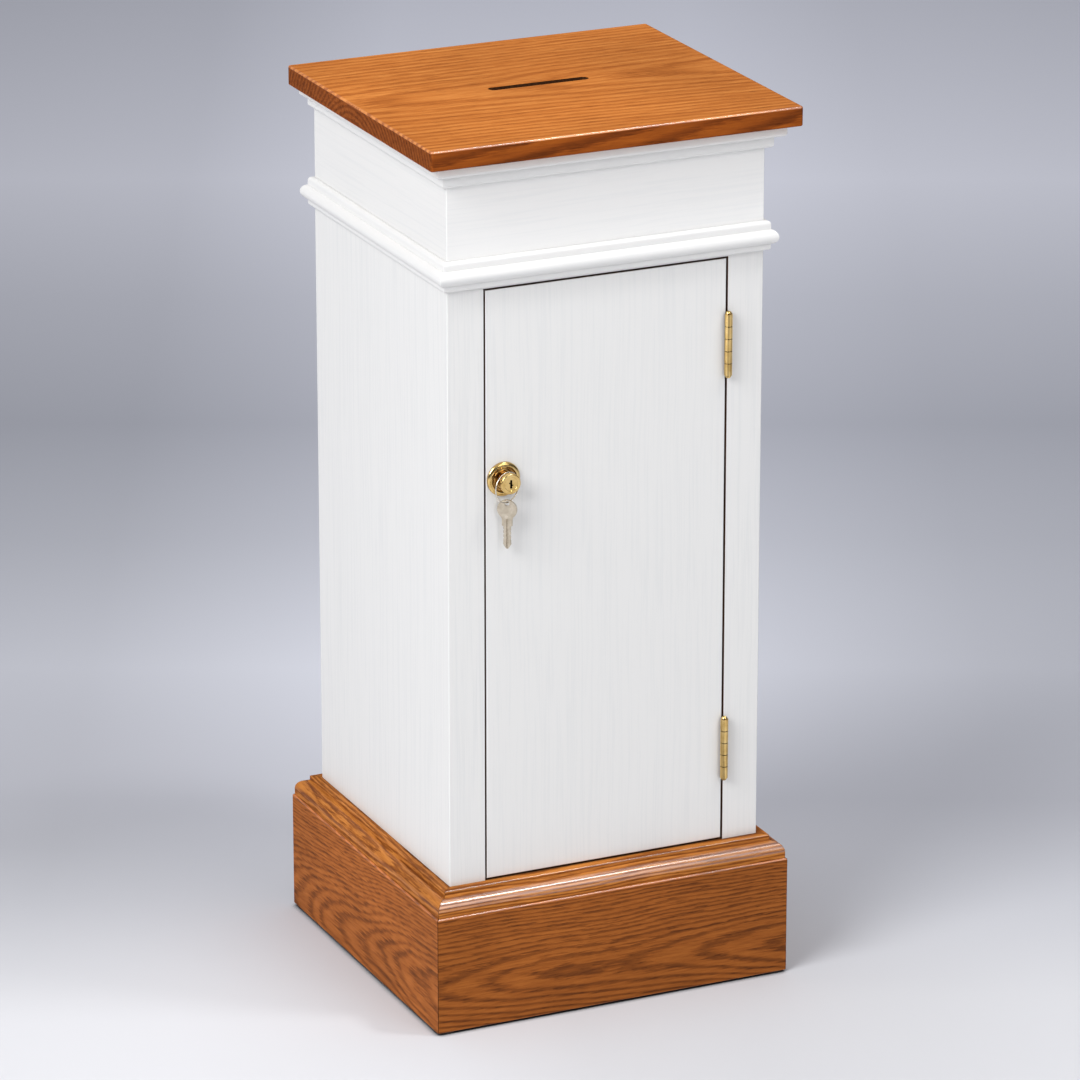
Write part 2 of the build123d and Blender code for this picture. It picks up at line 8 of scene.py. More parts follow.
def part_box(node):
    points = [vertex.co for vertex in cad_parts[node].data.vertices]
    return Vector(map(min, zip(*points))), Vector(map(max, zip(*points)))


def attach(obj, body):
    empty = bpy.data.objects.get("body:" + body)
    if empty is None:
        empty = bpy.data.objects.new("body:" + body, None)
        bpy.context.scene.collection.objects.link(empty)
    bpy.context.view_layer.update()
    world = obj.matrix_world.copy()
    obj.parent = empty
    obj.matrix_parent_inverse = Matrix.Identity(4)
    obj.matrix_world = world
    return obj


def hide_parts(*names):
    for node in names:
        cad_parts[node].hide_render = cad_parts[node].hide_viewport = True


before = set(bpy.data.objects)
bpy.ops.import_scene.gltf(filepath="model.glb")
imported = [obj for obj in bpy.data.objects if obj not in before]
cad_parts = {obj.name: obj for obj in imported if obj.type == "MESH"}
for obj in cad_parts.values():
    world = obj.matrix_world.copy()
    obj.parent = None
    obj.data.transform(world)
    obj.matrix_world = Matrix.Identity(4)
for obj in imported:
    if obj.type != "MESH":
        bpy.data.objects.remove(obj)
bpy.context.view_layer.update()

MM = 0.001


# The plinth: four oak boards planted round the foot of the case and mitred at its corners.
# They are stained brown, lighter or darker on each side as painted light, and the rounded arris along their
# top is rubbed pale and lacquered, partly a painted highlight.
case_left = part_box("side_panel_left")[0].x
case_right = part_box("side_panel_right")[1].x
case_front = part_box("stile_left")[0].y
case_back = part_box("side_panel_left")[1].y

# The corner where each side's run starts, the way it runs and the way it faces
SIDES = {
    "front": (Vector((case_right, case_front, 0)), Vector((-1, 0, 0)), Vector((0, -1, 0))),
    "left": (Vector((case_left, case_front, 0)), Vector((0, 1, 0)), Vector((-1, 0, 0))),
    "back": (Vector((case_left, case_back, 0)), Vector((1, 0, 0)), Vector((0, 1, 0))),
    "right": (Vector((case_right, case_back, 0)), Vector((0, -1, 0)), Vector((1, 0, 0))),
}


def side_length(side):
    return case_right - case_left if side in ("front", "back") else case_back - case_front


def side_turn(side):
    """The angle that lays a board of this side along X."""
    run = SIDES[side][1]
    return -math.atan2(run.y, run.x)


touching = 0.001 * MM
mitre_waste = 5 * MM
mitre_seam = 0.25 * MM
board_seam = 0.5 * MM
# A board's second finish is for its rounded arrises and its third for the seams of its mitres
ARRISES, SEAMS = 1, 2


def side_board(side, section, mitre_start=True, mitre_end=True, seam=mitre_seam):
    """A board or moulding along one side. Its section is a ring of (outward, height, rounding)."""
    corner, run, outward = SIDES[side]
    length = side_length(side)
    reach = max(out for out, height, rounding in section) + mitre_waste
    bm = bmesh.new()
    bm.faces.new([bm.verts.new((-reach, out, height)) for out, height, rounding in section])
    grown = bmesh.ops.extrude_face_region(bm, geom=bm.faces[:])
    far_end = [v for v in grown["geom"] if isinstance(v, bmesh.types.BMVert)]
    bmesh.ops.translate(bm, verts=far_end, vec=(length + 2 * reach, 0, 0))
    for out, height, rounding in section:
        if rounding:
            place = Vector((0, out, height))
            long_edge = [e for e in bm.edges if all((v.co - place).yz.length < touching for v in e.verts)]
            rounded = bmesh.ops.bevel(
                bm,
                geom=long_edge,
                offset=rounding,
                offset_type="ABSOLUTE",
                segments=2 + round(rounding / MM),
                profile=0.5,
                affect="EDGES",
                material=-1,
            )
            for face in rounded["faces"]:
                face.material_index = ARRISES
    for at, inward, mitred in ((0, 1, mitre_start), (length, -1, mitre_end)):
        cut = bmesh.ops.bisect_plane(
            bm,
            geom=bm.verts[:] + bm.edges[:] + bm.faces[:],
            dist=0.1 * touching,
            plane_co=(at, 0, 0),
            plane_no=(-inward, -1 if mitred else 0, 0),
            clear_outer=True,
        )
        rim = [e for e in cut["geom_cut"] if isinstance(e, bmesh.types.BMEdge)]
        bmesh.ops.edgeloop_fill(bm, edges=rim)
        eased = bmesh.ops.bevel(
            bm, geom=rim, offset=seam, segments=1, profile=0.5, affect="EDGES", material=-1
        )
        for face in eased["faces"]:
            face.material_index = SEAMS
    along_side = Matrix((run, outward, (0, 0, 1))).transposed().to_4x4()
    bmesh.ops.transform(bm, matrix=Matrix.Translation(corner) @ along_side, verts=bm.verts)
    return bm


def finish_piece(name, bm, materials, body, slot_name, *nodes, sharp=32):
    """Turns the mesh into an object, smooth between its sharp edges, and fixes it to its body."""
    bmesh.ops.remove_doubles(bm, verts=bm.verts, dist=touching)
    bmesh.ops.recalc_face_normals(bm, faces=bm.faces)
    mesh = bpy.data.meshes.new(name)
    bm.to_mesh(mesh)
    bm.free()
    mesh.shade_smooth()
    mesh.set_sharp_from_angle(angle=math.radians(sharp))
    for material in materials:
        mesh.materials.append(material)
    piece = bpy.data.objects.new(name, mesh)
    bpy.context.scene.collection.objects.link(piece)
    even = piece.modifiers.new("even_normals", "WEIGHTED_NORMAL")
    even.keep_sharp = True
    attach(piece, body)
    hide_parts(*nodes)


def add_node(tree, kind, inputs=None, **settings):
    """A shader node with its settings, and with its inputs set or linked."""
    made = tree.nodes.new("ShaderNode" + kind)
    for key, value in settings.items():
        setattr(made, key, value)
    for key, value in (inputs or {}).items():
        if isinstance(value, bpy.types.NodeSocket):
            tree.links.new(value, made.inputs[key])
        else:
            made.inputs[key].default_value = value
    return made


def ramp(tree, factor, stops):
    """A colour ramp from (position, colour or grey) stops."""
    made = add_node(tree, "ValToRGB", {"Fac": factor})
    points = made.color_ramp.elements
    while len(points) < len(stops):
        points.new(0.5)
    for point, (position, colour) in zip(points, stops):
        point.position = position
        point.color = (*colour, 1) if isinstance(colour, tuple) else (colour, colour, colour, 1)
    return made.outputs["Color"]


def mix(tree, factor, first, second, blend="MIX"):
    made = add_node(tree, "Mix", {0: factor, 6: first, 7: second}, data_type="RGBA", blend_type=blend)
    return made.outputs[2]


def new_material(name):
    material = bpy.data.materials.new(name)
    material.use_nodes = True
    tree = material.node_tree
    tree.nodes.clear()
    shader = add_node(tree, "BsdfPrincipled")
    add_node(tree, "OutputMaterial", {"Surface": shader.outputs["BSDF"]})
    place = add_node(tree, "TexCoord").outputs["Object"]
    return material, tree, shader, place


def stretched_noise(tree, place, along, across, detail=3.0, roughness=0.55):
    """Noise drawn out along X, with this many features a metre along and across."""
    die_and_reflection_lines = add_node(tree, "Mapping", {"Vector": place, "Scale": (along, across, across)})
    noise = add_node(
        tree,
        "TexNoise",
        {"Vector": die_and_reflection_lines.outputs["Vector"], "Scale": 1.0, "Detail": detail, "Roughness": roughness},
    )
    return noise.outputs["Fac"]


def shifted(tree, place, noise, reach):
    """The place moved sideways to the grain by this noise."""
    moved = add_node(
        tree, "VectorMath", {0: noise, 1: (0.0, reach, reach), 2: place}, operation="MULTIPLY_ADD"
    )
    return moved.outputs["Vector"]


log_sway = 14 * MM
ring_wander = 3.2 * MM
crevice_shade_reach = 4 * MM
pore_depth = 0.1 * MM


def oak(
    name, turn, heart, lean, ring_gap, tones, figure_share=0.6, calm=0.13, gloss=0.0, quirk_shade=0.0
):
    """Stained oak with its grain along X after turn. Heart is the tree's middle, lean its slope.
    figure_share weighs rings against fibres, and a higher calm makes the fibres fainter.
    gloss is the lacquer's, and the last argument paints shade into the quirks."""
    material, tree, shader, place = new_material(name)
    board = add_node(tree, "Mapping", {"Vector": place, "Rotation": (0, 0, turn)}).outputs["Vector"]
    log = add_node(tree, "Mapping", {"Vector": board, "Location": heart, "Rotation": lean})
    sway = add_node(tree, "TexNoise", {"Vector": log.outputs["Vector"], "Scale": 4.0, "Detail": 2.0})
    path = shifted(tree, log.outputs["Vector"], sway.outputs["Color"], log_sway)
    path = shifted(tree, path, stretched_noise(tree, board, 7, 45, 2.0), ring_wander)
    fibre = stretched_noise(tree, board, 42, 560, 3.0, 0.6)
    path = shifted(tree, path, fibre, 0.95 * ring_gap)
    rings = add_node(
        tree,
        "TexWave",
        {"Vector": path, "Scale": 0.1 * math.pi / ring_gap, "Distortion": 0.0},
        wave_type="RINGS",
        rings_direction="X",
        wave_profile="SAW",
    )
    early = ramp(
        tree,
        rings.outputs["Fac"],
        [(0.0, 0.35), (0.14, 0.0), (0.30, 0.15), (0.50, 0.85), (0.88, 1.0), (1.0, 0.35)],
    )
    streak = stretched_noise(tree, board, 8, 200, 5.0, 0.7)
    fibre_tone = ramp(tree, mix(tree, 0.6, fibre, streak), [(0.5 - calm, 0.0), (0.5 + calm, 1.0)])
    figure = mix(tree, 1.0 - figure_share, early, fibre_tone)
    dark, middle, light = tones
    stained = ramp(tree, figure, [(0.08, dark), (0.5, middle), (0.92, light)])
    pore_noise = stretched_noise(tree, board, 80, 1100, 2.0)
    pores = ramp(tree, pore_noise, [(0.58, 0.0), (0.68, 1.0)])
    pore_share = mix(tree, 1.0, pores, ramp(tree, early, [(0.2, 0.7), (0.8, 0.2)]), "MULTIPLY")
    pored = mix(tree, pore_share, stained, (*(0.6 * c for c in dark), 1))
    cloud = add_node(tree, "TexNoise", {"Vector": board, "Scale": 5.0, "Detail": 1.0}).outputs["Fac"]
    shade = ramp(tree, cloud, [(0.3, 0.86), (0.7, 1.1)])
    colour = mix(tree, 1.0, pored, shade, "MULTIPLY")
    # Ambient occlusion darkens the quirks: painted shade.
    if quirk_shade:
        openness = add_node(tree, "AmbientOcclusion", {"Distance": crevice_shade_reach}, samples=6).outputs["AO"]
        crevice_shade = ramp(tree, openness, [(0.35, 1.0 - quirk_shade), (0.8, 1.0)])
        colour = mix(tree, 1.0, colour, crevice_shade, "MULTIPLY")
    tree.links.new(colour, shader.inputs["Base Color"])
    tree.links.new(ramp(tree, figure, [(0.0, 0.62), (1.0, 0.48)]), shader.inputs["Roughness"])
    shader.inputs["Specular IOR Level"].default_value = 0.08 + 0.3 * gloss
    shader.inputs["Coat Weight"].default_value = gloss
    shader.inputs["Coat Roughness"].default_value = 0.2
    shader.inputs["Coat IOR"].default_value = 1.9
    relief = mix(tree, pores, fibre_tone, (0, 0, 0, 1))
    bump = add_node(tree, "Bump", {"Strength": 0.25, "Distance": pore_depth, "Height": relief})
    tree.links.new(bump.outputs["Normal"], shader.inputs["Normal"])
    return material


def lighter(tones, share):
    """The tones made lighter by share: where a rubbed arris took less stain and is partly a painted
    highlight, or a side painted lighter by how the light falls on it.
    """
    return tuple(tuple(min(0.9, share * c) for c in tone) for tone in tones)


plinth_tones = ((0.110, 0.032, 0.008), (0.250, 0.072, 0.013), (0.350, 0.108, 0.020))
seam_tones = ((0.035, 0.010, 0.003), (0.060, 0.018, 0.005), (0.080, 0.024, 0.006))
seam_ring_gap = 4 * MM
seam_wood = oak("oak_seam", 0.0, (0, 0, 0), (0, 0, 0), seam_ring_gap, seam_tones)
plinth_low, plinth_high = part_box("plinth_front")
plinth_out = case_front - plinth_low.y
plinth_arris = 1.5 * MM
plinth_foot_ease = 0.4 * MM
plinth_section = [
    (0, plinth_low.z, 0),
    (plinth_out, plinth_low.z, plinth_foot_ease),
    (plinth_out, plinth_high.z, plinth_arris),
    (0, plinth_high.z, 0),
]
# The place of the tree's heart behind each board's face, and how it leans
plinth_hearts = {
    "front": ((0.0, -0.146, -0.052), (0.0, 0.045, 0.035)),
    "left": ((0.0, -0.104, -0.040), (0.0, -0.07, 0.05)),
    "back": ((0.0, -0.140, -0.060), (0.0, 0.05, -0.04)),
    "right": ((0.0, -0.130, -0.020), (0.0, 0.07, 0.03)),
}
plinth_ring_gaps = {"front": 3.3 * MM, "left": 2.5 * MM, "back": 3.3 * MM, "right": 3.0 * MM}
# Each side's tones are made lighter or darker by how the light falls on it: painted light.
plinth_side_light = {"front": 1.08, "left": 1.28, "back": 1.1, "right": 1.0}
plinth_figure_shares = {"front": 0.52, "left": 0.44, "back": 0.5, "right": 0.5}
for side in SIDES:
    heart, lean = plinth_hearts[side]
    log = (side_turn(side), heart, lean, plinth_ring_gaps[side])
    tones = lighter(plinth_tones, plinth_side_light[side])
    wood = oak(f"oak_plinth_{side}", *log, tones, figure_share=plinth_figure_shares[side])
    # The arris's pale tone is rubbed wear and partly a painted highlight.
    pale = oak(f"oak_plinth_arris_{side}", *log, lighter(tones, 1.5), gloss=1.0)
    board = side_board(side, plinth_section, seam=board_seam)
    finishes = [wood, pale, seam_wood]
    finish_piece(f"plinth_board_{side}", board, finishes, "root", "oak_plinth", f"plinth_{side}")


# The base cap: an oak moulding over the plinth, with a fillet, a quirk and a wide ovolo.
# It is mitred at the corners, and the lacquer on its round is rubbed to a shine. Shade is painted into its
# quirks.
cap_low, cap_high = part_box("base_cap_front")
cap_out = case_front - cap_low.y
cap_fillet_out = 10 * MM
cap_fillet_low = cap_high.z - 4.5 * MM
cap_quirk = 1.7 * MM
ovolo_top = cap_fillet_low - cap_quirk
ovolo_reach = 10.4 * MM
cap_foot_ease = 0.3 * MM
cap_fillet_ease = 0.9 * MM
cap_section = [
    (0, cap_low.z, 0),
    (cap_out, cap_low.z, cap_foot_ease),
    (cap_out, ovolo_top, ovolo_reach),
    (cap_fillet_out + cap_quirk, ovolo_top, 0),
    (cap_fillet_out, cap_fillet_low, 0),
    (cap_fillet_out, cap_high.z, cap_fillet_ease),
    (0, cap_high.z, 0),
]
cap_tones = ((0.170, 0.046, 0.008), (0.350, 0.108, 0.018), (0.580, 0.215, 0.042))
cap_ring_gap = 3.6 * MM
# How much each side shines: the sides differ so that the front shows a broad highlight and the left almost
# none, a painted highlight.
cap_highlight_gloss = {"front": 1.0, "left": 0.2, "back": 0.4, "right": 0.4}
cap_hearts = {
    "front": ((0.0, -0.190, -0.070), (0.0, 0.01, 0.012)),
    "left": ((0.0, -0.130, -0.080), (0.0, 0.03, 0.05)),
    "back": ((0.0, -0.180, -0.070), (0.0, 0.01, 0.02)),
    "right": ((0.0, -0.190, -0.090), (0.0, 0.02, -0.03)),
}
for side in SIDES:
    heart, lean = cap_hearts[side]
    log = (side_turn(side), heart, lean, cap_ring_gap)
    wood = oak(f"oak_cap_{side}", *log, cap_tones, quirk_shade=0.8)
    glossy = oak(f"oak_cap_round_{side}", *log, cap_tones, gloss=cap_highlight_gloss[side], quirk_shade=0.5)
    cap = side_board(side, cap_section)
    finishes = [wood, glossy, seam_wood]
    finish_piece(f"base_cap_moulding_{side}", cap, finishes, "root", "oak_plinth", f"base_cap_{side}")


# The glides: four discs of dark felt, stuck under the plinth's corners.
# They lift the box a little off the floor.
def dress(node, material):
    """Gives a CAD node its finish."""
    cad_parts[node].material_slots[0].material = material


fuzz_depth = 0.4 * MM
felt, tree, shader, place = new_material("dark_felt")
fuzz = add_node(tree, "TexNoise", {"Vector": place, "Scale": 900.0, "Detail": 4.0}).outputs["Fac"]
fuzz_tone = ramp(tree, fuzz, [(0.35, (0.012, 0.010, 0.009)), (0.65, (0.045, 0.038, 0.032))])
tree.links.new(fuzz_tone, shader.inputs["Base Color"])
shader.inputs["Roughness"].default_value = 0.95
fuzz_bump = add_node(tree, "Bump", {"Strength": 0.8, "Distance": fuzz_depth, "Height": fuzz})
tree.links.new(fuzz_bump.outputs["Normal"], shader.inputs["Normal"])
dress("glides", felt)


# The case: side panels, back, stiles and rails of planed boards under white satin paint.
# The grain runs along each board and telegraphs faintly through the paint. The narrow edges on
# both sides of the gap round the door are coloured dark brown: painted shade that darkens the gap.
slab_low, slab_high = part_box("door_panel")
door_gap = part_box("stile_right")[0].x - slab_high.x
edge_reach = 0.05 * MM
# The dark brown on the edges round the door's gap: painted shade.
door_gap_shade_tones = ((0.070, 0.026, 0.010), (0.130, 0.050, 0.018))


def round_the_gap(tree, place):
    """1 on the door's edges and on the edges that face them, and 0 elsewhere."""
    middle = (slab_low + slab_high) / 2
    aside = add_node(tree, "VectorMath", {0: place, 1: middle}, operation="SUBTRACT")
    aside = add_node(tree, "VectorMath", {0: aside.outputs["Vector"]}, operation="ABSOLUTE")
    past = add_node(
        tree, "VectorMath", {0: aside.outputs["Vector"], 1: slab_high - middle}, operation="SUBTRACT"
    )
    ways = add_node(tree, "SeparateXYZ", {"Vector": past.outputs["Vector"]}).outputs
    farther = add_node(tree, "Math", {0: ways["X"], 1: ways["Z"]}, operation="MAXIMUM")
    half = door_gap / 2
    inside = {0: farther.outputs["Value"], 1: half, 2: half + edge_reach}
    return add_node(tree, "Math", inside, operation="COMPARE").outputs["Value"]


paint_sway = 14 * MM
corner_shade_reach = 3 * MM
telegraph_depth = 0.12 * MM


def white_paint(name, turn, grain=1.0, sheen=0.15, white=0.80, corner_shade=0.0, paint_gap_shade=False):
    """White satin paint over wood whose grain lies along X after turn, in (x, y, z) radians.
    A crease share paints shade into its inner corners, and the edge option paints the edges round the
    door's gap dark brown as painted shade."""
    material, tree, shader, place = new_material(name)
    board = add_node(tree, "Mapping", {"Vector": place, "Rotation": turn}).outputs["Vector"]
    sway = add_node(tree, "TexNoise", {"Vector": board, "Scale": 3.0, "Detail": 2.0})
    swayed = shifted(tree, board, sway.outputs["Color"], paint_sway)
    line_noise = stretched_noise(tree, swayed, 5, 340, 4.0, 0.55)
    lines = ramp(tree, line_noise, [(0.36, 0.0), (0.62, 1.0)])
    fine_noise = stretched_noise(tree, swayed, 18, 900, 3.0)
    fine = ramp(tree, fine_noise, [(0.3, 0.0), (0.7, 1.0)])
    telegraph = mix(tree, 0.35, lines, fine)
    deep = white - 0.01 - 0.03 * grain
    colour = ramp(
        tree, telegraph, [(0.1, (deep, deep, deep - 0.01)), (0.6, (white, white - 0.005, white - 0.02))]
    )
    # Ambient occlusion darkens the inner corners: painted shade.
    if corner_shade:
        openness = add_node(tree, "AmbientOcclusion", {"Distance": corner_shade_reach}, samples=6).outputs["AO"]
        shade = ramp(tree, openness, [(0.3, 1.0 - corner_shade), (0.75, 1.0)])
        colour = mix(tree, 1.0, colour, shade, "MULTIPLY")
    # The edges round the door's gap are coloured dark brown: painted shade for the gap.
    if paint_gap_shade:
        edge_shade = ramp(tree, telegraph, [(0.1, door_gap_shade_tones[0]), (0.9, door_gap_shade_tones[1])])
        colour = mix(tree, round_the_gap(tree, place), colour, edge_shade)
    tree.links.new(colour, shader.inputs["Base Color"])
    tree.links.new(ramp(tree, fine_noise, [(0.3, 0.46), (0.7, 0.38)]), shader.inputs["Roughness"])
    shader.inputs["Coat Weight"].default_value = sheen
    shader.inputs["Coat Roughness"].default_value = 0.25
    raised = {"Strength": 0.25 * grain, "Distance": telegraph_depth, "Height": telegraph}
    bump = add_node(tree, "Bump", raised)
    tree.links.new(bump.outputs["Normal"], shader.inputs["Normal"])
    return material


upright = (0, math.pi / 2, 0)
paint_upright = white_paint("white_paint_upright", upright)
for node in ("side_panel_left", "side_panel_right", "back_panel"):
    dress(node, paint_upright)
# The stiles' and rails' edges at the door's gap are coloured dark brown: painted shade.
paint_stile = white_paint("white_paint_stile", upright, paint_gap_shade=True)
for node in ("stile_left", "stile_right"):
    dress(node, paint_stile)
paint_rail = white_paint("white_paint_rail", (0, 0, 0), paint_gap_shade=True)
for node in ("top_rail", "lower_rail"):
    dress(node, paint_rail)


# Inside: the bottom panel on its two cleats, the lid's cleats and the door stop.
# All are planed softwood, left bare.
pine, tree, shader, place = new_material("bare_softwood")
pine_lines = stretched_noise(tree, place, 4, 120, 3.0)
pine_tone = ramp(
    tree,
    pine_lines,
    [(0.3, (0.47, 0.30, 0.15)), (0.5, (0.64, 0.46, 0.27)), (0.7, (0.72, 0.56, 0.36))],
)
tree.links.new(pine_tone, shader.inputs["Base Color"])
shader.inputs["Roughness"].default_value = 0.62
pine_depth = 0.1 * MM
pine_bump = add_node(tree, "Bump", {"Strength": 0.4, "Distance": pine_depth, "Height": pine_lines})
tree.links.new(pine_bump.outputs["Normal"], shader.inputs["Normal"])
for node in (
    "bottom_panel",
    "bottom_cleat_left",
    "bottom_cleat_right",
    "lid_cleat_left",
    "lid_cleat_right",
    "door_stop",
):
    dress(node, pine)


# The bead: a white moulding of a torus between two fillets, over the joint of case and frieze.
# It is mitred at the corners, and its paint is smoother than the boards'. Shade is painted into its
# creases.
bead_low, bead_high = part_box("bead_front")
bead_out = case_front - bead_low.y
bead_fillet_out = 5.5 * MM
torus_low = bead_low.z + 6.5 * MM
torus_high = bead_high.z - 8.5 * MM
torus_inset = 1.2 * MM
torus_reach = 6.2 * MM
bead_foot_round = 3 * MM
bead_top_round = 3.6 * MM
bead_section = [
    (0, bead_low.z, 0),
    (bead_fillet_out, bead_low.z, bead_foot_round),
    (bead_fillet_out, torus_low, 0),
    (bead_out, torus_low + torus_inset, torus_reach),
    (bead_out, torus_high - torus_inset, torus_reach),
    (bead_fillet_out, torus_high, 0),
    (bead_fillet_out, bead_high.z, bead_top_round),
    (0, bead_high.z, 0),
]
# The moulding paint darkens its inner corners as painted shade.
moulding_finish = {"grain": 0.35, "sheen": 0.3, "white": 0.83, "corner_shade": 0.3}
moulding_paint = {
    side: white_paint(f"white_paint_moulding_{side}", (0, 0, side_turn(side)), **moulding_finish)
    for side in SIDES
}
for side in SIDES:
    bead = side_board(side, bead_section)
    paint = moulding_paint[side]
    finish_piece(f"bead_moulding_{side}", bead, [paint] * 3, "root", "white_paint", f"bead_{side}")


# The frieze: four wooden boards mitred at the corners, under white satin paint.
# Their grain lies level and shows faintly through it. Each side's white is set by how the light falls on
# it, as painted light, and shade is painted into their creases.
frieze_low, frieze_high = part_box("frieze_front")
frieze_back = case_front - frieze_high.y
frieze_section = [
    (frieze_back, frieze_low.z, 0),
    (0, frieze_low.z, 0),
    (0, frieze_high.z, 0),
    (frieze_back, frieze_high.z, 0),
]
# Each side's white, lighter or darker by how the light falls on it: painted light.
frieze_side_light = {"front": 0.89, "left": 0.80, "back": 0.84, "right": 0.84}
for side in SIDES:
    finish = {"grain": 0.7, "white": frieze_side_light[side], "corner_shade": 0.3}
    paint = white_paint(f"white_paint_frieze_{side}", (0, 0, side_turn(side)), **finish)
    frieze = side_board(side, frieze_section, seam=board_seam)
    finish_piece(f"frieze_board_{side}", frieze, [paint] * 3, "root", "white_paint", f"frieze_{side}")


# The crown: two stepped white members under the lid, on the front and sides.
# Their lower edges are rounded over, and the ends are cut flush with the back.
crown_low, crown_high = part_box("crown_front")
crown_out = case_front - crown_low.y
crown_step = crown_high.z - 12.2 * MM
crown_lower_out = 6.8 * MM
crown_lower_round = 3 * MM
crown_upper_round = 3.5 * MM
crown_top_ease = 0.3 * MM
crown_section = [
    (0, crown_low.z, 0),
    (crown_lower_out, crown_low.z, crown_lower_round),
    (crown_lower_out, crown_step, 0),
    (crown_out, crown_step, crown_upper_round),
    (crown_out, crown_high.z, crown_top_ease),
    (0, crown_high.z, 0),
]
for side in ("front", "left", "right"):
    crown = side_board(side, crown_section, mitre_start=side != "right", mitre_end=side != "left")
    paint = moulding_paint[side]
    finish_piece(f"crown_moulding_{side}", crown, [paint] * 3, "root", "white_paint", f"crown_{side}")


# The lid: one broad oak panel, stained orange-brown, with a rounded slot cut through its middle.
# Its arrises are rounded over, and it is screwed up from the cleats.
lid_low, lid_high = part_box("lid")
lid_middle = (lid_low + lid_high) / 2
lid_size = lid_high - lid_low
slot_length = 108 * MM
slot_width = 12 * MM
slot_y = (case_front + case_back) / 2 - 4.5 * MM
slot_corner = slot_width / 2 - touching
slot_ease = 0.6 * MM
lid_corner = 3 * MM
lid_ease = 1.8 * MM


def flat_outline(bm, y, length, width, corner, segments):
    """A flat rectangle with rounded corners, in the plane of the lid's underside."""
    grid = bmesh.ops.create_grid(bm, x_segments=1, y_segments=1, size=0.5)
    bmesh.ops.scale(bm, verts=grid["verts"], vec=(length, width, 1))
    bmesh.ops.translate(bm, verts=grid["verts"], vec=(0, y, lid_low.z))
    corners = grid["verts"][0].link_faces[0].verts[:]
    bmesh.ops.bevel(
        bm, geom=corners, offset=corner, segments=segments, profile=0.5, affect="VERTICES", material=-1
    )


lid_bm = bmesh.new()
flat_outline(lid_bm, lid_middle.y, lid_size.x, lid_size.y, lid_corner, 5)
flat_outline(lid_bm, slot_y, slot_length, slot_width, slot_corner, 9)
bmesh.ops.delete(lid_bm, geom=lid_bm.faces[:], context="FACES_ONLY")
bmesh.ops.triangle_fill(lid_bm, use_beauty=True, edges=lid_bm.edges[:])
grown = bmesh.ops.extrude_face_region(lid_bm, geom=lid_bm.faces[:])
top_verts = [v for v in grown["geom"] if isinstance(v, bmesh.types.BMVert)]
bmesh.ops.translate(lid_bm, verts=top_verts, vec=(0, 0, lid_size.z))
bmesh.ops.recalc_face_normals(lid_bm, faces=lid_bm.faces)


def at_slot(place):
    return abs(place.x) < slot_length and abs(place.y - slot_y) < slot_width


def edge_middle(edge):
    return (edge.verts[0].co + edge.verts[1].co) / 2


def turned_edges(bm):
    """The edges where a level face meets an upright one."""
    return [
        e
        for e in bm.edges
        if len(e.link_faces) == 2
        and abs(abs(e.link_faces[0].normal.z) - abs(e.link_faces[1].normal.z)) > 0.9
    ]


# The lid's finishes: its broad faces, its upper arris, its long edges, the slot's walls and its ends
BROAD, UPPER_ARRIS, LONG_EDGE, SLOT_WALL, END = range(5)
for arrises, ease, steps, upper_finish in (
    ([e for e in turned_edges(lid_bm) if not at_slot(edge_middle(e))], lid_ease, 5, UPPER_ARRIS),
    ([e for e in turned_edges(lid_bm) if at_slot(edge_middle(e))], slot_ease, 3, BROAD),
):
    rounded = bmesh.ops.bevel(
        lid_bm, geom=arrises, offset=ease, segments=steps, profile=0.5, affect="EDGES", material=-1
    )
    for face in rounded["faces"]:
        above = face.calc_center_median().z > lid_middle.z
        face.material_index = upper_finish if above else LONG_EDGE
for face in lid_bm.faces:
    if abs(face.normal.z) < 0.1 and face.material_index == BROAD:
        outer_finish = END if abs(face.normal.x) > 0.7 else LONG_EDGE
        face.material_index = SLOT_WALL if at_slot(face.calc_center_median()) else outer_finish

lid_tones = ((0.310, 0.080, 0.012), (0.525, 0.162, 0.028), (0.730, 0.275, 0.062))
# The long edges and the ends are darker than the top: the ends as end grain that takes up more stain, and
# both as painted shade.
lid_edge_tones = ((0.120, 0.026, 0.003), (0.245, 0.054, 0.006), (0.370, 0.092, 0.010))
lid_end_tones = ((0.095, 0.022, 0.003), (0.195, 0.045, 0.006), (0.290, 0.077, 0.011))
lid_ring_gap = 9 * MM
lid_edge_ring_gap = 6 * MM
# The turn of the lid's grain, the place of the tree's heart and how it leans
lid_log = (0.0, (0.03, -0.005, -0.852), (0.0, 0.07, 0.03))
lid_oak = oak("oak_lid", *lid_log, lid_ring_gap, lid_tones, figure_share=0.30, calm=0.2)
# The arris's pale tone is rubbed wear and partly a painted highlight.
lid_arris = oak("oak_lid_arris", *lid_log, lid_ring_gap, lighter(lid_tones, 1.2), gloss=1.0)
lid_edge = oak("oak_lid_edge", *lid_log, lid_edge_ring_gap, lid_edge_tones, figure_share=0.5)
lid_end = oak("oak_lid_end", *lid_log, lid_edge_ring_gap, lid_end_tones, figure_share=0.45)

# The slot's walls are stained dark, and darker still as painted shade inside the slot.
slot_stained_and_shaded, tree, shader, place = new_material("dark_slot_stained_and_shaded")
saw_marks = stretched_noise(tree, place, 500, 60, 3.0)
slot_stained_shaded_tone = ramp(tree, saw_marks, [(0.3, (0.028, 0.010, 0.004)), (0.7, (0.070, 0.026, 0.009))])
tree.links.new(slot_stained_shaded_tone, shader.inputs["Base Color"])
shader.inputs["Roughness"].default_value = 0.8
shader.inputs["Specular IOR Level"].default_value = 0.1
lid_finishes = [lid_oak, lid_arris, lid_edge, slot_stained_and_shaded, lid_end]
finish_piece("lid_panel", lid_bm, lid_finishes, "root", "oak_lid", "lid")


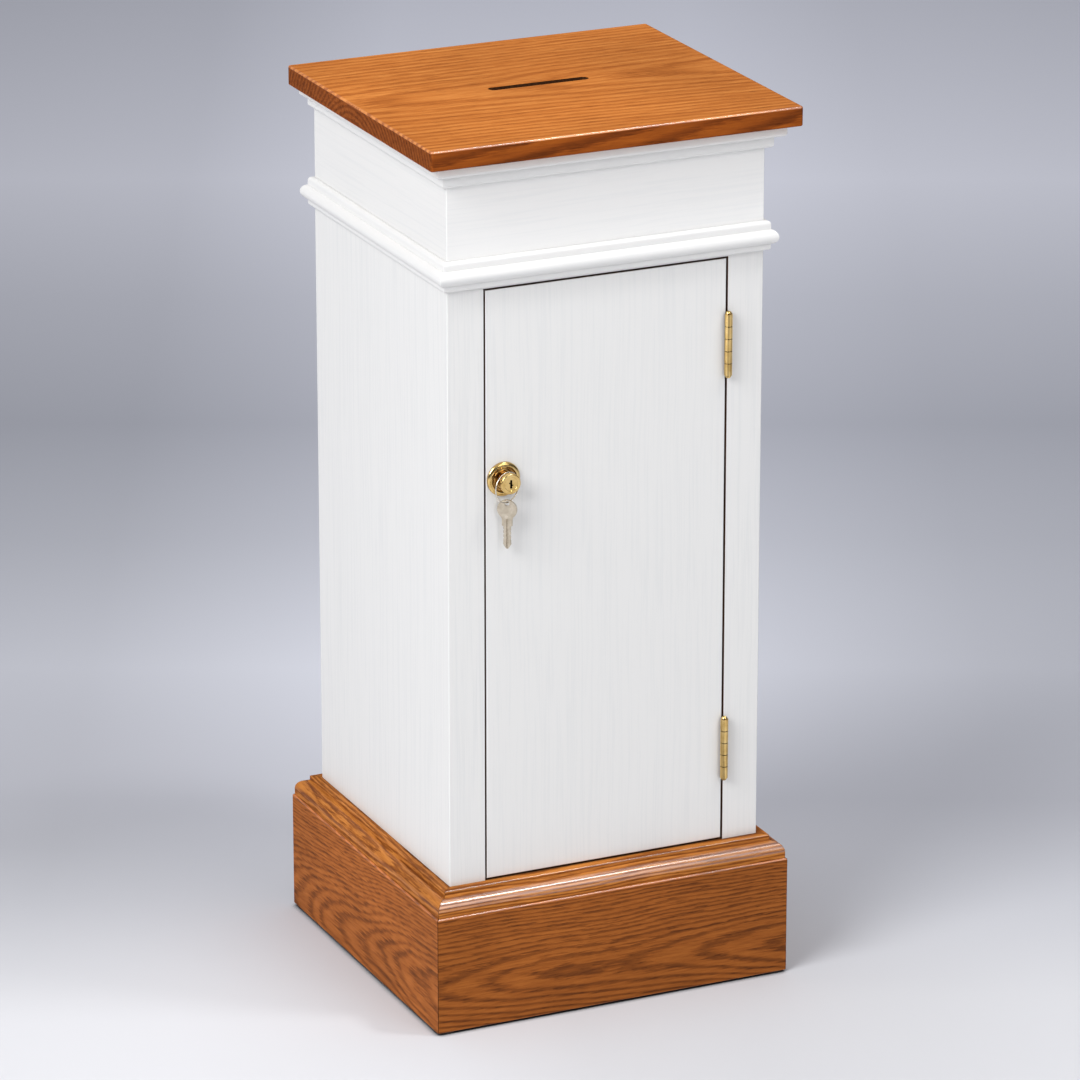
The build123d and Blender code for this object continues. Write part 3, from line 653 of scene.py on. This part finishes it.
# The hinges: pressed brass butts, each with two leaves in the gap and five knuckles round a pin.
# The pins have domed tips, and screws hold the leaves in their mortises.
patina_and_shade_reach = 4 * MM
hair_depth = 0.05 * MM


def polished_brass(name, patina_and_shade=None, closed_in=0.35, clean_from=0.85, die_and_reflection_lines=0.0):
    """Brass, darkened towards this tone where it is closed in, up to the openness closed_in, and clean from
    clean_from up: patina and painted shade.
    The lines along Z are toned by the last argument's depth: lines that a drawing die leaves, and painted
    reflection streaks."""
    material, tree, shader, place = new_material(name)
    smudge = add_node(tree, "TexNoise", {"Vector": place, "Scale": 120.0, "Detail": 4.0}).outputs["Fac"]
    brass_tone = ramp(
        tree,
        smudge,
        [(0.3, (0.62, 0.40, 0.13)), (0.5, (0.77, 0.53, 0.20)), (0.75, (0.85, 0.62, 0.27))],
    )
    # Light and dark lines along Z: drawing-die lines and painted reflection streaks.
    if die_and_reflection_lines:
        lengthwise = add_node(tree, "Mapping", {"Vector": place, "Rotation": upright}).outputs["Vector"]
        lines = stretched_noise(tree, lengthwise, 12, 420, 1.0)
        die_and_reflection_tone = ramp(tree, lines, [(0.4, 1.0 - die_and_reflection_lines), (0.6, 1.0 + 0.25 * die_and_reflection_lines)])
        brass_tone = mix(tree, 1.0, brass_tone, die_and_reflection_tone, "MULTIPLY")
    # Ambient occlusion darkens it where it is closed in: patina and painted shade.
    if patina_and_shade:
        openness = add_node(tree, "AmbientOcclusion", {"Distance": patina_and_shade_reach}, samples=6).outputs["AO"]
        patina_and_shade_tone = ramp(tree, openness, [(closed_in, patina_and_shade), (clean_from, (1.0, 1.0, 1.0))])
        brass_tone = mix(tree, 1.0, brass_tone, patina_and_shade_tone, "MULTIPLY")
    tree.links.new(brass_tone, shader.inputs["Base Color"])
    shader.inputs["Metallic"].default_value = 1.0
    tree.links.new(ramp(tree, smudge, [(0.3, 0.22), (0.7, 0.12)]), shader.inputs["Roughness"])
    hairs = add_node(tree, "TexNoise", {"Vector": place, "Scale": 2400.0, "Detail": 2.0}).outputs["Fac"]
    hair_bump = add_node(tree, "Bump", {"Strength": 0.08, "Distance": hair_depth, "Height": hairs})
    tree.links.new(hair_bump.outputs["Normal"], shader.inputs["Normal"])
    return material


leaf_brass = polished_brass("leaf_brass")
# The barrel darkens to deep brown beside the door's face: painted shade.
barrel_brass = polished_brass("barrel_brass", (0.12, 0.05, 0.015), 0.55, 0.98, die_and_reflection_lines=0.45)

leaf_thickness = 1.6 * MM
leaf_gap = 0.2 * MM
leaf_ease = 0.2 * MM
pin_radius = 1.6 * MM
pin_fit = 0.05 * MM
knuckle_ease = 0.45 * MM
knuckle_bulge = 0.3 * knuckle_ease
knuckle_gap = 0.3 * MM
knuckle_count = 5
strap_bite = 1 * MM
strap_ease = 0.15 * MM
hinge_facets = 40
upward = Vector((0, 0, 1))
rightward = Vector((1, 0, 0))


def turned(bm, section, axis_place, axis_way, side_way, steps):
    """A round piece: a section of (radius, along) spun fully about an axis."""
    ring = [bm.verts.new(axis_place + side_way * radius + axis_way * along) for radius, along in section]
    edges = [bm.edges.new(pair) for pair in zip(ring, ring[1:])]
    bmesh.ops.spin(
        bm,
        geom=ring + edges,
        cent=axis_place,
        axis=axis_way,
        angle=math.tau,
        steps=steps,
        use_merge=True,
        use_duplicate=False,
    )


def arc(radius, along, wide, high, steps, span=math.pi / 2):
    """Points of (radius, along) from the outer foot of an arc, which is this wide and high."""
    return [
        (radius + wide * math.cos(step * span / steps), along + high * math.sin(step * span / steps))
        for step in range(steps + 1)
    ]


def rounded_block(bm, low, high, ease, segments=2):
    """A block between two corners, with its edges eased."""
    made = bmesh.ops.create_cube(bm, size=1.0)
    bmesh.ops.scale(bm, verts=made["verts"], vec=high - low)
    bmesh.ops.translate(bm, verts=made["verts"], vec=(low + high) / 2)
    edges = list({e for v in made["verts"] for e in v.link_edges})
    bmesh.ops.bevel(
        bm, geom=edges, offset=ease, segments=segments, profile=0.5, affect="EDGES", material=-1
    )


for place_name in ("upper", "lower"):
    frame_low, frame_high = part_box(f"{place_name}_hinge_frame_leaf")
    door_low, door_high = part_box(f"{place_name}_hinge_door_leaf")
    pin_low, pin_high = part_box(f"{place_name}_hinge_pin")
    pin_middle = (pin_low + pin_high) / 2
    barrel_radius = pin_middle.y - frame_low.y
    pitch = (frame_high.z - frame_low.z) / knuckle_count
    for part, body, low, high, own in (
        ("frame_leaf", "root", frame_low, frame_high, range(0, knuckle_count, 2)),
        ("door_leaf", "door", door_low, door_high, range(1, knuckle_count, 2)),
    ):
        leaf = bmesh.new()
        plate_x = pin_middle.x + (leaf_gap if part == "frame_leaf" else -leaf_gap - leaf_thickness)
        plate_low = Vector((plate_x, case_front, low.z))
        plate_high = Vector((plate_low.x + leaf_thickness, high.y, high.z))
        rounded_block(leaf, plate_low, plate_high, leaf_ease)
        # The plate takes the second finish
        for face in leaf.faces:
            face.material_index = 1
        for index in own:
            start = frame_low.z + index * pitch + (knuckle_gap / 2 if index else 0)
            stop = frame_low.z + (index + 1) * pitch - (knuckle_gap / 2 if index < knuckle_count - 1 else 0)
            centre = Vector((pin_middle.x, pin_middle.y, start))
            height = stop - start
            knuckle = [
                (pin_radius, 0),
                (barrel_radius - knuckle_ease, 0),
                (barrel_radius - knuckle_bulge, knuckle_bulge),
                (barrel_radius, knuckle_ease),
                (barrel_radius, height - knuckle_ease),
                (barrel_radius - knuckle_bulge, height - knuckle_bulge),
                (barrel_radius - knuckle_ease, height),
                (pin_radius, height),
                (pin_radius, 0),
            ]
            turned(leaf, knuckle, centre, upward, rightward, hinge_facets)
            strap_low = Vector((plate_low.x, pin_middle.y, start))
            strap_high = Vector((plate_high.x, case_front + strap_bite, stop))
            rounded_block(leaf, strap_low, strap_high, strap_ease, 1)
        node = f"{place_name}_hinge_{part}"
        finishes = [barrel_brass, leaf_brass]
        finish_piece(f"{place_name}_butt_{part}", leaf, finishes, body, "polished_brass", node)
    pin = bmesh.new()
    half = (pin_high.z - pin_low.z) / 2
    tip_base = (frame_high.z - frame_low.z) / 2
    tip_height = half - tip_base
    tip_radius = pin_high.x - pin_middle.x
    dome = arc(0, tip_base, tip_radius, tip_height, 6)
    dome[-1] = (0, half)
    shank = pin_radius - pin_fit
    section = [(0, -half)] + [(radius, -along) for radius, along in reversed(dome[:-1])]
    section += [(shank, -tip_base), (shank, tip_base)] + dome
    turned(pin, section, pin_middle, upward, rightward, hinge_facets)
    node = f"{place_name}_hinge_pin"
    finish_piece(f"{place_name}_butt_pin", pin, [barrel_brass], "root", "polished_brass", node)
for node in ("hinge_frame_screws", "hinge_door_screws"):
    dress(node, leaf_brass)


# The door: a plain slab, flush with the stiles and painted with them, its grain upright.
# Its four edges are coloured dark brown like the edges that face them: painted shade for the gap.
door_paint = white_paint("white_paint_door", upright, grain=0.75, paint_gap_shade=True)
dress("door_panel", door_paint)


# The lock: a turned brass rosette with a broad convex lip and two fine ridges in its dish, and in it
# the neck and flat head of a cylinder lock. A hexagonal nut holds it behind the door, and a steel cam
# turns with its plug.
# The lock's brass darkens in its dish and where it is closed in: patina and painted shade.
lock_brass = polished_brass("lock_brass", (0.30, 0.16, 0.06))
rosette_low, rosette_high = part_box("lock_rosette")
rosette_middle = (rosette_low + rosette_high) / 2
lock_centre = Vector((rosette_middle.x, case_front, rosette_middle.z))
outward = Vector((0, -1, 0))
rosette_radius = (rosette_high.x - rosette_low.x) / 2
rosette_edge = 1 * MM
rosette_ease = 0.3 * MM
neck_radius = 8 * MM
rosette_bore = neck_radius + 0.1 * MM
lip_width = 4 * MM
lip_height = 3.5 * MM
lip_foot = rosette_radius - lip_width
dish_height = 1.6 * MM
dish_slope = 0.4 * MM
ridge_radius = 0.65 * MM
ridge_height = 1.5 * ridge_radius
lock_facets = 72
rosette_section = [(rosette_bore, 0), (rosette_radius - rosette_ease, 0), (rosette_radius, rosette_ease)]
rosette_section += arc(lip_foot, rosette_edge, lip_width, lip_height - rosette_edge, 8)
rosette_section += [(lip_foot - dish_slope, dish_height)]
for inset in (1.4 * MM, 3.2 * MM):
    rosette_section += arc(lip_foot - inset, dish_height, ridge_radius, ridge_height, 6, span=math.pi)
rosette_section += [(rosette_bore, dish_height), (rosette_bore, 0)]
rosette = bmesh.new()
turned(rosette, rosette_section, lock_centre, outward, upward, lock_facets)
finish_piece("rosette_plate", rosette, [lock_brass], "door", "polished_brass", "lock_rosette", sharp=40)

housing_low, housing_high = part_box("lock_housing")
head_radius = (housing_high.x - housing_low.x) / 2
head_front = case_front - housing_low.y
head_back = head_front - 4.5 * MM
barrel_end = case_front - housing_high.y
plug_bore = 6.05 * MM
plug_head_bore = 6.95 * MM
plug_head_floor = head_front - 3.0 * MM
head_round = 1.2 * MM
head_ease = 0.4 * MM
barrel_ease = 0.3 * MM
bore_ease = 0.15 * MM
housing_section = [
    (plug_bore, barrel_end),
    (neck_radius - barrel_ease, barrel_end),
    (neck_radius, barrel_end + barrel_ease),
    (neck_radius, head_back),
    (head_radius - head_ease, head_back),
    (head_radius, head_back + head_ease),
]
housing_section += arc(head_radius - head_round, head_front - head_round, head_round, head_round, 5)
housing_section += [
    (plug_head_bore + bore_ease, head_front),
    (plug_head_bore, head_front - bore_ease),
    (plug_head_bore, plug_head_floor),
    (plug_bore, plug_head_floor),
    (plug_bore, barrel_end),
]
housing = bmesh.new()
turned(housing, housing_section, lock_centre, outward, upward, lock_facets)
finish_piece("lock_cylinder", housing, [lock_brass], "door", "polished_brass", "lock_housing", sharp=40)
dress("lock_plug", lock_brass)
dress("lock_nut", lock_brass)

steel, tree, shader, place = new_material("plated_steel")
mottle = add_node(tree, "TexNoise", {"Vector": place, "Scale": 260.0, "Detail": 3.0}).outputs["Fac"]
tree.links.new(ramp(tree, mottle, [(0.3, 0.40), (0.7, 0.58)]), shader.inputs["Base Color"])
tree.links.new(ramp(tree, mottle, [(0.3, 0.42), (0.7, 0.28)]), shader.inputs["Roughness"])
shader.inputs["Metallic"].default_value = 1.0
for node in ("lock_cam", "cam_screw", "lid_screws"):
    dress(node, steel)


# The key ring: a plain ring of thin round wire, in nickel silver.
# It hangs loose on the lock's neck and carries the key.
nickel_crevice_shade_reach = 1.2 * MM
scratch_depth = 0.05 * MM


def nickel_silver(name, dull, bright, smoothest):
    """Nickel silver between a dull and a bright tone, with painted shade where it is closed in, as in the
    key's grooves.
    """
    material, tree, shader, place = new_material(name)
    wear = add_node(tree, "TexNoise", {"Vector": place, "Scale": 190.0, "Detail": 5.0}).outputs["Fac"]
    nickel_tone = ramp(tree, wear, [(0.3, dull), (0.7, bright)])
    # Ambient occlusion darkens the grooves and the ring's contact: painted shade.
    openness = add_node(tree, "AmbientOcclusion", {"Distance": nickel_crevice_shade_reach}, samples=6).outputs["AO"]
    crevice_shade = ramp(tree, openness, [(0.45, (0.30, 0.22, 0.15)), (0.9, (1.0, 1.0, 1.0))])
    tree.links.new(mix(tree, 1.0, nickel_tone, crevice_shade, "MULTIPLY"), shader.inputs["Base Color"])
    shader.inputs["Metallic"].default_value = 1.0
    shine = ramp(tree, wear, [(0.3, smoothest + 0.16), (0.7, smoothest)])
    tree.links.new(shine, shader.inputs["Roughness"])
    scratch = stretched_noise(tree, place, 300, 4000, 2.0)
    scratched = {"Strength": 0.15, "Distance": scratch_depth, "Height": scratch}
    scratch_bump = add_node(tree, "Bump", scratched)
    tree.links.new(scratch_bump.outputs["Normal"], shader.inputs["Normal"])
    return material


ring_nickel = nickel_silver("ring_nickel", (0.64, 0.58, 0.47), (0.88, 0.82, 0.71), 0.16)

wire_radius = 0.7 * MM
wire_facets = 12
ring_facets = 72
ring_low, ring_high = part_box("key_ring")
ring_centre = (ring_low + ring_high) / 2
ring_reach = (ring_high - ring_low) / 2 - Vector((wire_radius, wire_radius, wire_radius))
ring_radius = ring_reach.z
ring_yaw = math.atan2(ring_reach.y, ring_reach.x)
ring_along = Vector((math.cos(ring_yaw), math.sin(ring_yaw), 0))
ring_axis = ring_along.cross(upward)
ring = bmesh.new()
wire = bmesh.ops.create_circle(ring, segments=wire_facets, radius=wire_radius)
facing = Matrix((ring_along, ring_axis, upward)).transposed().to_4x4()
wire_place = Matrix.Translation(ring_centre + ring_along * ring_radius) @ facing
bmesh.ops.transform(ring, matrix=wire_place, verts=wire["verts"])
bmesh.ops.spin(
    ring,
    geom=ring.verts[:] + ring.edges[:],
    cent=ring_centre,
    axis=ring_axis,
    angle=math.tau,
    steps=ring_facets,
    use_merge=True,
    use_duplicate=False,
)
finish_piece("ring_wire", ring, [ring_nickel], "key_ring", "nickel_silver", "key_ring")


# The key: stamped flat from nickel silver, with a round bow, a hole for the ring and a shoulder.
# A groove is milled down the middle of each face, and small bits are cut into the blade's edges.
key_nickel = nickel_silver("key_nickel", (0.49, 0.42, 0.32), (0.65, 0.58, 0.47), 0.26)
key_low, key_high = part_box("key")
key_yaw = math.radians(37.0)
key_thickness = 2 * MM
key_ease = 0.3 * MM
bow_radius = 10 * MM
bow_facets = 48
hole_radius = 2.4 * MM
hole_below_top = 3.9 * MM
key_top = key_high.z
bow_middle = -bow_radius
blade_root = bow_middle - 0.3 * bow_radius
root_half = 0.75 * bow_radius
shoulder_half = 5.25 * MM
shoulder_start = -20.4 * MM
shoulder_step = 0.02 * MM
blade_start = -26.9 * MM
blade_half = 3.75 * MM
blade_sink = 0.12 * MM
arrow_half = 4.2 * MM
tip_half = 1.05 * MM
tip_end = key_low.z - key_top
arrow_start = tip_end + 6 * MM
arrow_widest = tip_end + 5 * MM
bit_depth = 0.9 * MM
bit_pitch = 4.2 * MM
bit_count = 3
bit_starts = {-1: blade_start - 4 * MM, 1: blade_start - 5.5 * MM}
groove_depth = 0.6 * MM

key = bmesh.new()
rims = []
for radius, middle in ((bow_radius, bow_middle), (hole_radius, -hole_below_top)):
    circle = bmesh.ops.create_circle(key, segments=bow_facets, radius=radius)
    bmesh.ops.translate(key, verts=circle["verts"], vec=(0, middle, -key_thickness / 2))
    rims += list({e for v in circle["verts"] for e in v.link_edges})
bmesh.ops.bridge_loops(key, edges=rims)
grown = bmesh.ops.extrude_face_region(key, geom=key.faces[:])
key_face = [v for v in grown["geom"] if isinstance(v, bmesh.types.BMVert)]
bmesh.ops.translate(key, verts=key_face, vec=(0, 0, key_thickness))
bmesh.ops.recalc_face_normals(key, faces=key.faces)
bmesh.ops.bevel(
    key, geom=turned_edges(key), offset=key_ease, segments=2, profile=0.5, affect="EDGES", material=-1
)


def bit_place(side, index):
    return bit_starts[side] - index * bit_pitch


def blade_edge(side, along):
    """How far the blade's edge stands out at this place below the top, where its bits are cut."""
    cut = max(bit_depth - abs(along - bit_place(side, index)) for index in range(bit_count))
    return side * (blade_half - max(0.0, cut))


# Rows down the key: the place below its top, and its left and right edges there
key_rows = [
    (blade_root, -root_half, root_half),
    (shoulder_start, -shoulder_half, shoulder_half),
    (blade_start + key_ease, -shoulder_half, shoulder_half),
    (blade_start, key_ease - shoulder_half, shoulder_half - key_ease),
    (blade_start - shoulder_step, -blade_half, blade_half),
]
bit_stops = {
    bit_place(side, index) + way * bit_depth
    for side in (-1, 1)
    for index in range(bit_count)
    for way in (-1, 0, 1)
}
key_rows += [(stop, blade_edge(-1, stop), blade_edge(1, stop)) for stop in sorted(bit_stops, reverse=True)]
key_rows += [
    (arrow_start, -blade_half, blade_half),
    (arrow_widest, -arrow_half, arrow_half),
    (tip_end + key_ease, -tip_half - key_ease, tip_half + key_ease),
    (tip_end, -tip_half, tip_half),
]
# Columns across it: the share of the width from the middle, and how deep the face lies there
key_columns = [(-1.0, key_ease), (-0.88, 0.0), (-0.26, 0.0), (-0.15, groove_depth)]
key_columns += [(0.15, groove_depth), (0.26, 0.0), (0.88, 0.0), (1.0, key_ease)]
columns, rows = len(key_columns) - 1, len(key_rows) - 1
for face_way in (1, -1):
    sheet = bmesh.ops.create_grid(key, x_segments=columns, y_segments=rows, size=1.0)
    for vert in sheet["verts"]:
        share, sunk = key_columns[round((vert.co.x + 1) / 2 * columns)]
        row = round((1 - vert.co.y) / 2 * rows)
        along, left, right = key_rows[row]
        half_width = (right - left) / 2
        # The groove stays as narrow on the shoulder as on the blade
        reach = min(half_width, blade_half) if abs(share) < 0.5 else half_width
        across = (left + right) / 2 + share * reach
        if row in (0, rows):
            sunk = key_ease if abs(share) == 1.0 or row == rows else 0.0
        vert.co = (across, along, face_way * (key_thickness / 2 - blade_sink - sunk))
blade_rims = [e for e in key.edges if e.is_boundary]
bmesh.ops.bridge_loops(key, edges=blade_rims)
key_across = Vector((math.cos(key_yaw), -math.sin(key_yaw), 0))
key_facing = Matrix((key_across, upward, key_across.cross(upward))).transposed().to_4x4()
key_middle = (key_low + key_high) / 2
key_hang = Matrix.Translation(Vector((key_middle.x, key_middle.y, key_top)))
bmesh.ops.transform(key, matrix=key_hang @ key_facing, verts=key.verts)
finish_piece("ring_key", key, [key_nickel], "key", "nickel_silver", "key")


# The floor, which is the backdrop too: one wide flat disc with a matt finish.
# Its tone runs from pale in front to grey-blue behind and changes from side to side: painted light and
# shade, with a painted shadow in front of the box on the right.
floor_radius = 30.0
floor = bmesh.new()
bmesh.ops.create_circle(floor, cap_ends=True, segments=96, radius=floor_radius)
floor_mesh = bpy.data.meshes.new("studio_floor")
floor.to_mesh(floor_mesh)
floor.free()
floor_object = bpy.data.objects.new("studio_floor", floor_mesh)
bpy.context.scene.collection.objects.link(floor_object)

view_azimuth = math.radians(-24.752)
floor_finish, tree, shader, place = new_material("studio_sweep")
lined_up = add_node(tree, "Mapping", {"Vector": place, "Rotation": (0, 0, -view_azimuth)})
ways = add_node(tree, "SeparateXYZ", {"Vector": lined_up.outputs["Vector"]}).outputs
far = add_node(tree, "MapRange", {"Value": ways["Y"], "From Min": -1.0, "From Max": 4.0})
light_by_depth = ramp(
    tree,
    far.outputs["Result"],
    [
        (0.0, (0.75, 0.75, 0.77)),
        (0.17, (0.725, 0.725, 0.75)),
        (0.22, (0.625, 0.63, 0.67)),
        (0.277, (0.555, 0.56, 0.61)),
        (0.36, (0.66, 0.67, 0.73)),
        (0.45, (0.525, 0.535, 0.59)),
        (0.54, (0.44, 0.45, 0.505)),
        (0.65, (0.575, 0.585, 0.65)),
        (0.77, (0.78, 0.79, 0.87)),
        (1.0, (0.67, 0.68, 0.755)),
    ],
)
aside = add_node(tree, "MapRange", {"Value": ways["X"], "From Min": -1.0, "From Max": 1.0})
light_across_middle = ramp(
    tree,
    aside.outputs["Result"],
    [(0.0, 0.74), (0.24, 0.80), (0.38, 1.0), (0.62, 1.03), (0.76, 0.90), (1.0, 0.84)],
)
# Darker in front of the box on the right: a painted shadow.
light_and_shadow_near = ramp(
    tree,
    aside.outputs["Result"],
    [
        (0.0, 0.90),
        (0.24, 0.935),
        (0.32, 0.955),
        (0.385, 0.945),
        (0.455, 0.935),
        (0.525, 0.84),
        (0.61, 0.82),
        (0.70, 0.86),
        (0.76, 0.90),
        (1.0, 0.89),
    ],
)
nearness = ramp(tree, far.outputs["Result"], [(0.18, 1.0), (0.25, 0.0)])
across_tone = mix(tree, nearness, light_across_middle, light_and_shadow_near)
floor_tone = mix(tree, 1.0, light_by_depth, across_tone, "MULTIPLY")
# Ambient occlusion darkens the floor where the box stands close over it: a painted contact shadow.
contact_shadow_reach = 9 * MM
openness = add_node(tree, "AmbientOcclusion", {"Distance": contact_shadow_reach}, samples=6).outputs["AO"]
contact_shadow = ramp(tree, openness, [(0.3, 0.05), (0.8, 1.0)])
tree.links.new(mix(tree, 1.0, floor_tone, contact_shadow, "MULTIPLY"), shader.inputs["Base Color"])
shader.inputs["Roughness"].default_value = 0.9
shader.inputs["Specular IOR Level"].default_value = 0.1
floor_mesh.materials.append(floor_finish)


# The light: a broad soft key lamp high on the left, a fill lamp in front on the right and a small
# lamp high on the right. The sky is soft, and brightest overhead.
aim = Vector((0, 0, 0.5))


def soft_lamp(name, place, size, power):
    data = bpy.data.lights.new(name, "AREA")
    data.shape = "DISK"
    data.size = size
    data.energy = power
    lamp = bpy.data.objects.new(name, data)
    lamp.location = place
    lamp.rotation_mode = "QUATERNION"
    lamp.rotation_quaternion = (aim - lamp.location).to_track_quat("-Z", "Y")
    bpy.context.scene.collection.objects.link(lamp)


soft_lamp("key_lamp", Vector((-3.7, -1.7, 3.3)), 3.0, 212)
soft_lamp("fill_lamp", Vector((1.5, -4.6, 2.9)), 3.0, 55)
soft_lamp("high_lamp", Vector((1.6, -1.35, 4.4)), 0.65, 42)

world = bpy.data.worlds.new("studio_sky")
world.use_nodes = True
sky = world.node_tree
looking = add_node(sky, "TexCoord").outputs["Generated"]
way_up = add_node(sky, "SeparateXYZ", {"Vector": looking}).outputs["Z"]
sky_tone = ramp(
    sky,
    way_up,
    [
        (0.0, (0.10, 0.10, 0.11)),
        (0.4, (0.16, 0.165, 0.18)),
        (0.65, (0.60, 0.61, 0.64)),
        (1.0, (0.95, 0.96, 1.0)),
    ],
)
backdrop_tone = (0.40, 0.41, 0.46, 1)
in_sight = add_node(sky, "LightPath").outputs["Is Camera Ray"]
seen_tone = mix(sky, in_sight, sky_tone, backdrop_tone)
sky.links.new(seen_tone, sky.nodes["Background"].inputs["Color"])
sky.nodes["Background"].inputs["Strength"].default_value = 0.8
bpy.context.scene.world = world
bpy.context.scene.view_settings.view_transform = "Standard"


# The camera stands where the photograph was taken from, in front on the left and above the lid.
# Its long lens keeps the uprights nearly parallel.
view_elevation = math.radians(19.3444)
camera_data = bpy.data.cameras.new("camera")
camera_data.sensor_width = 36.0
camera_data.lens = 203.736
camera_data.clip_end = 200.0
camera = bpy.data.objects.new("camera", camera_data)
camera.location = (-2.4382, -5.2944, 2.4828)
back = Vector(
    (
        math.sin(view_azimuth) * math.cos(view_elevation),
        -math.cos(view_azimuth) * math.cos(view_elevation),
        math.sin(view_elevation),
    )
)
camera.rotation_mode = "QUATERNION"
camera.rotation_quaternion = (-back).to_track_quat("-Z", "Y")
bpy.context.scene.collection.objects.link(camera)
bpy.context.scene.camera = camera
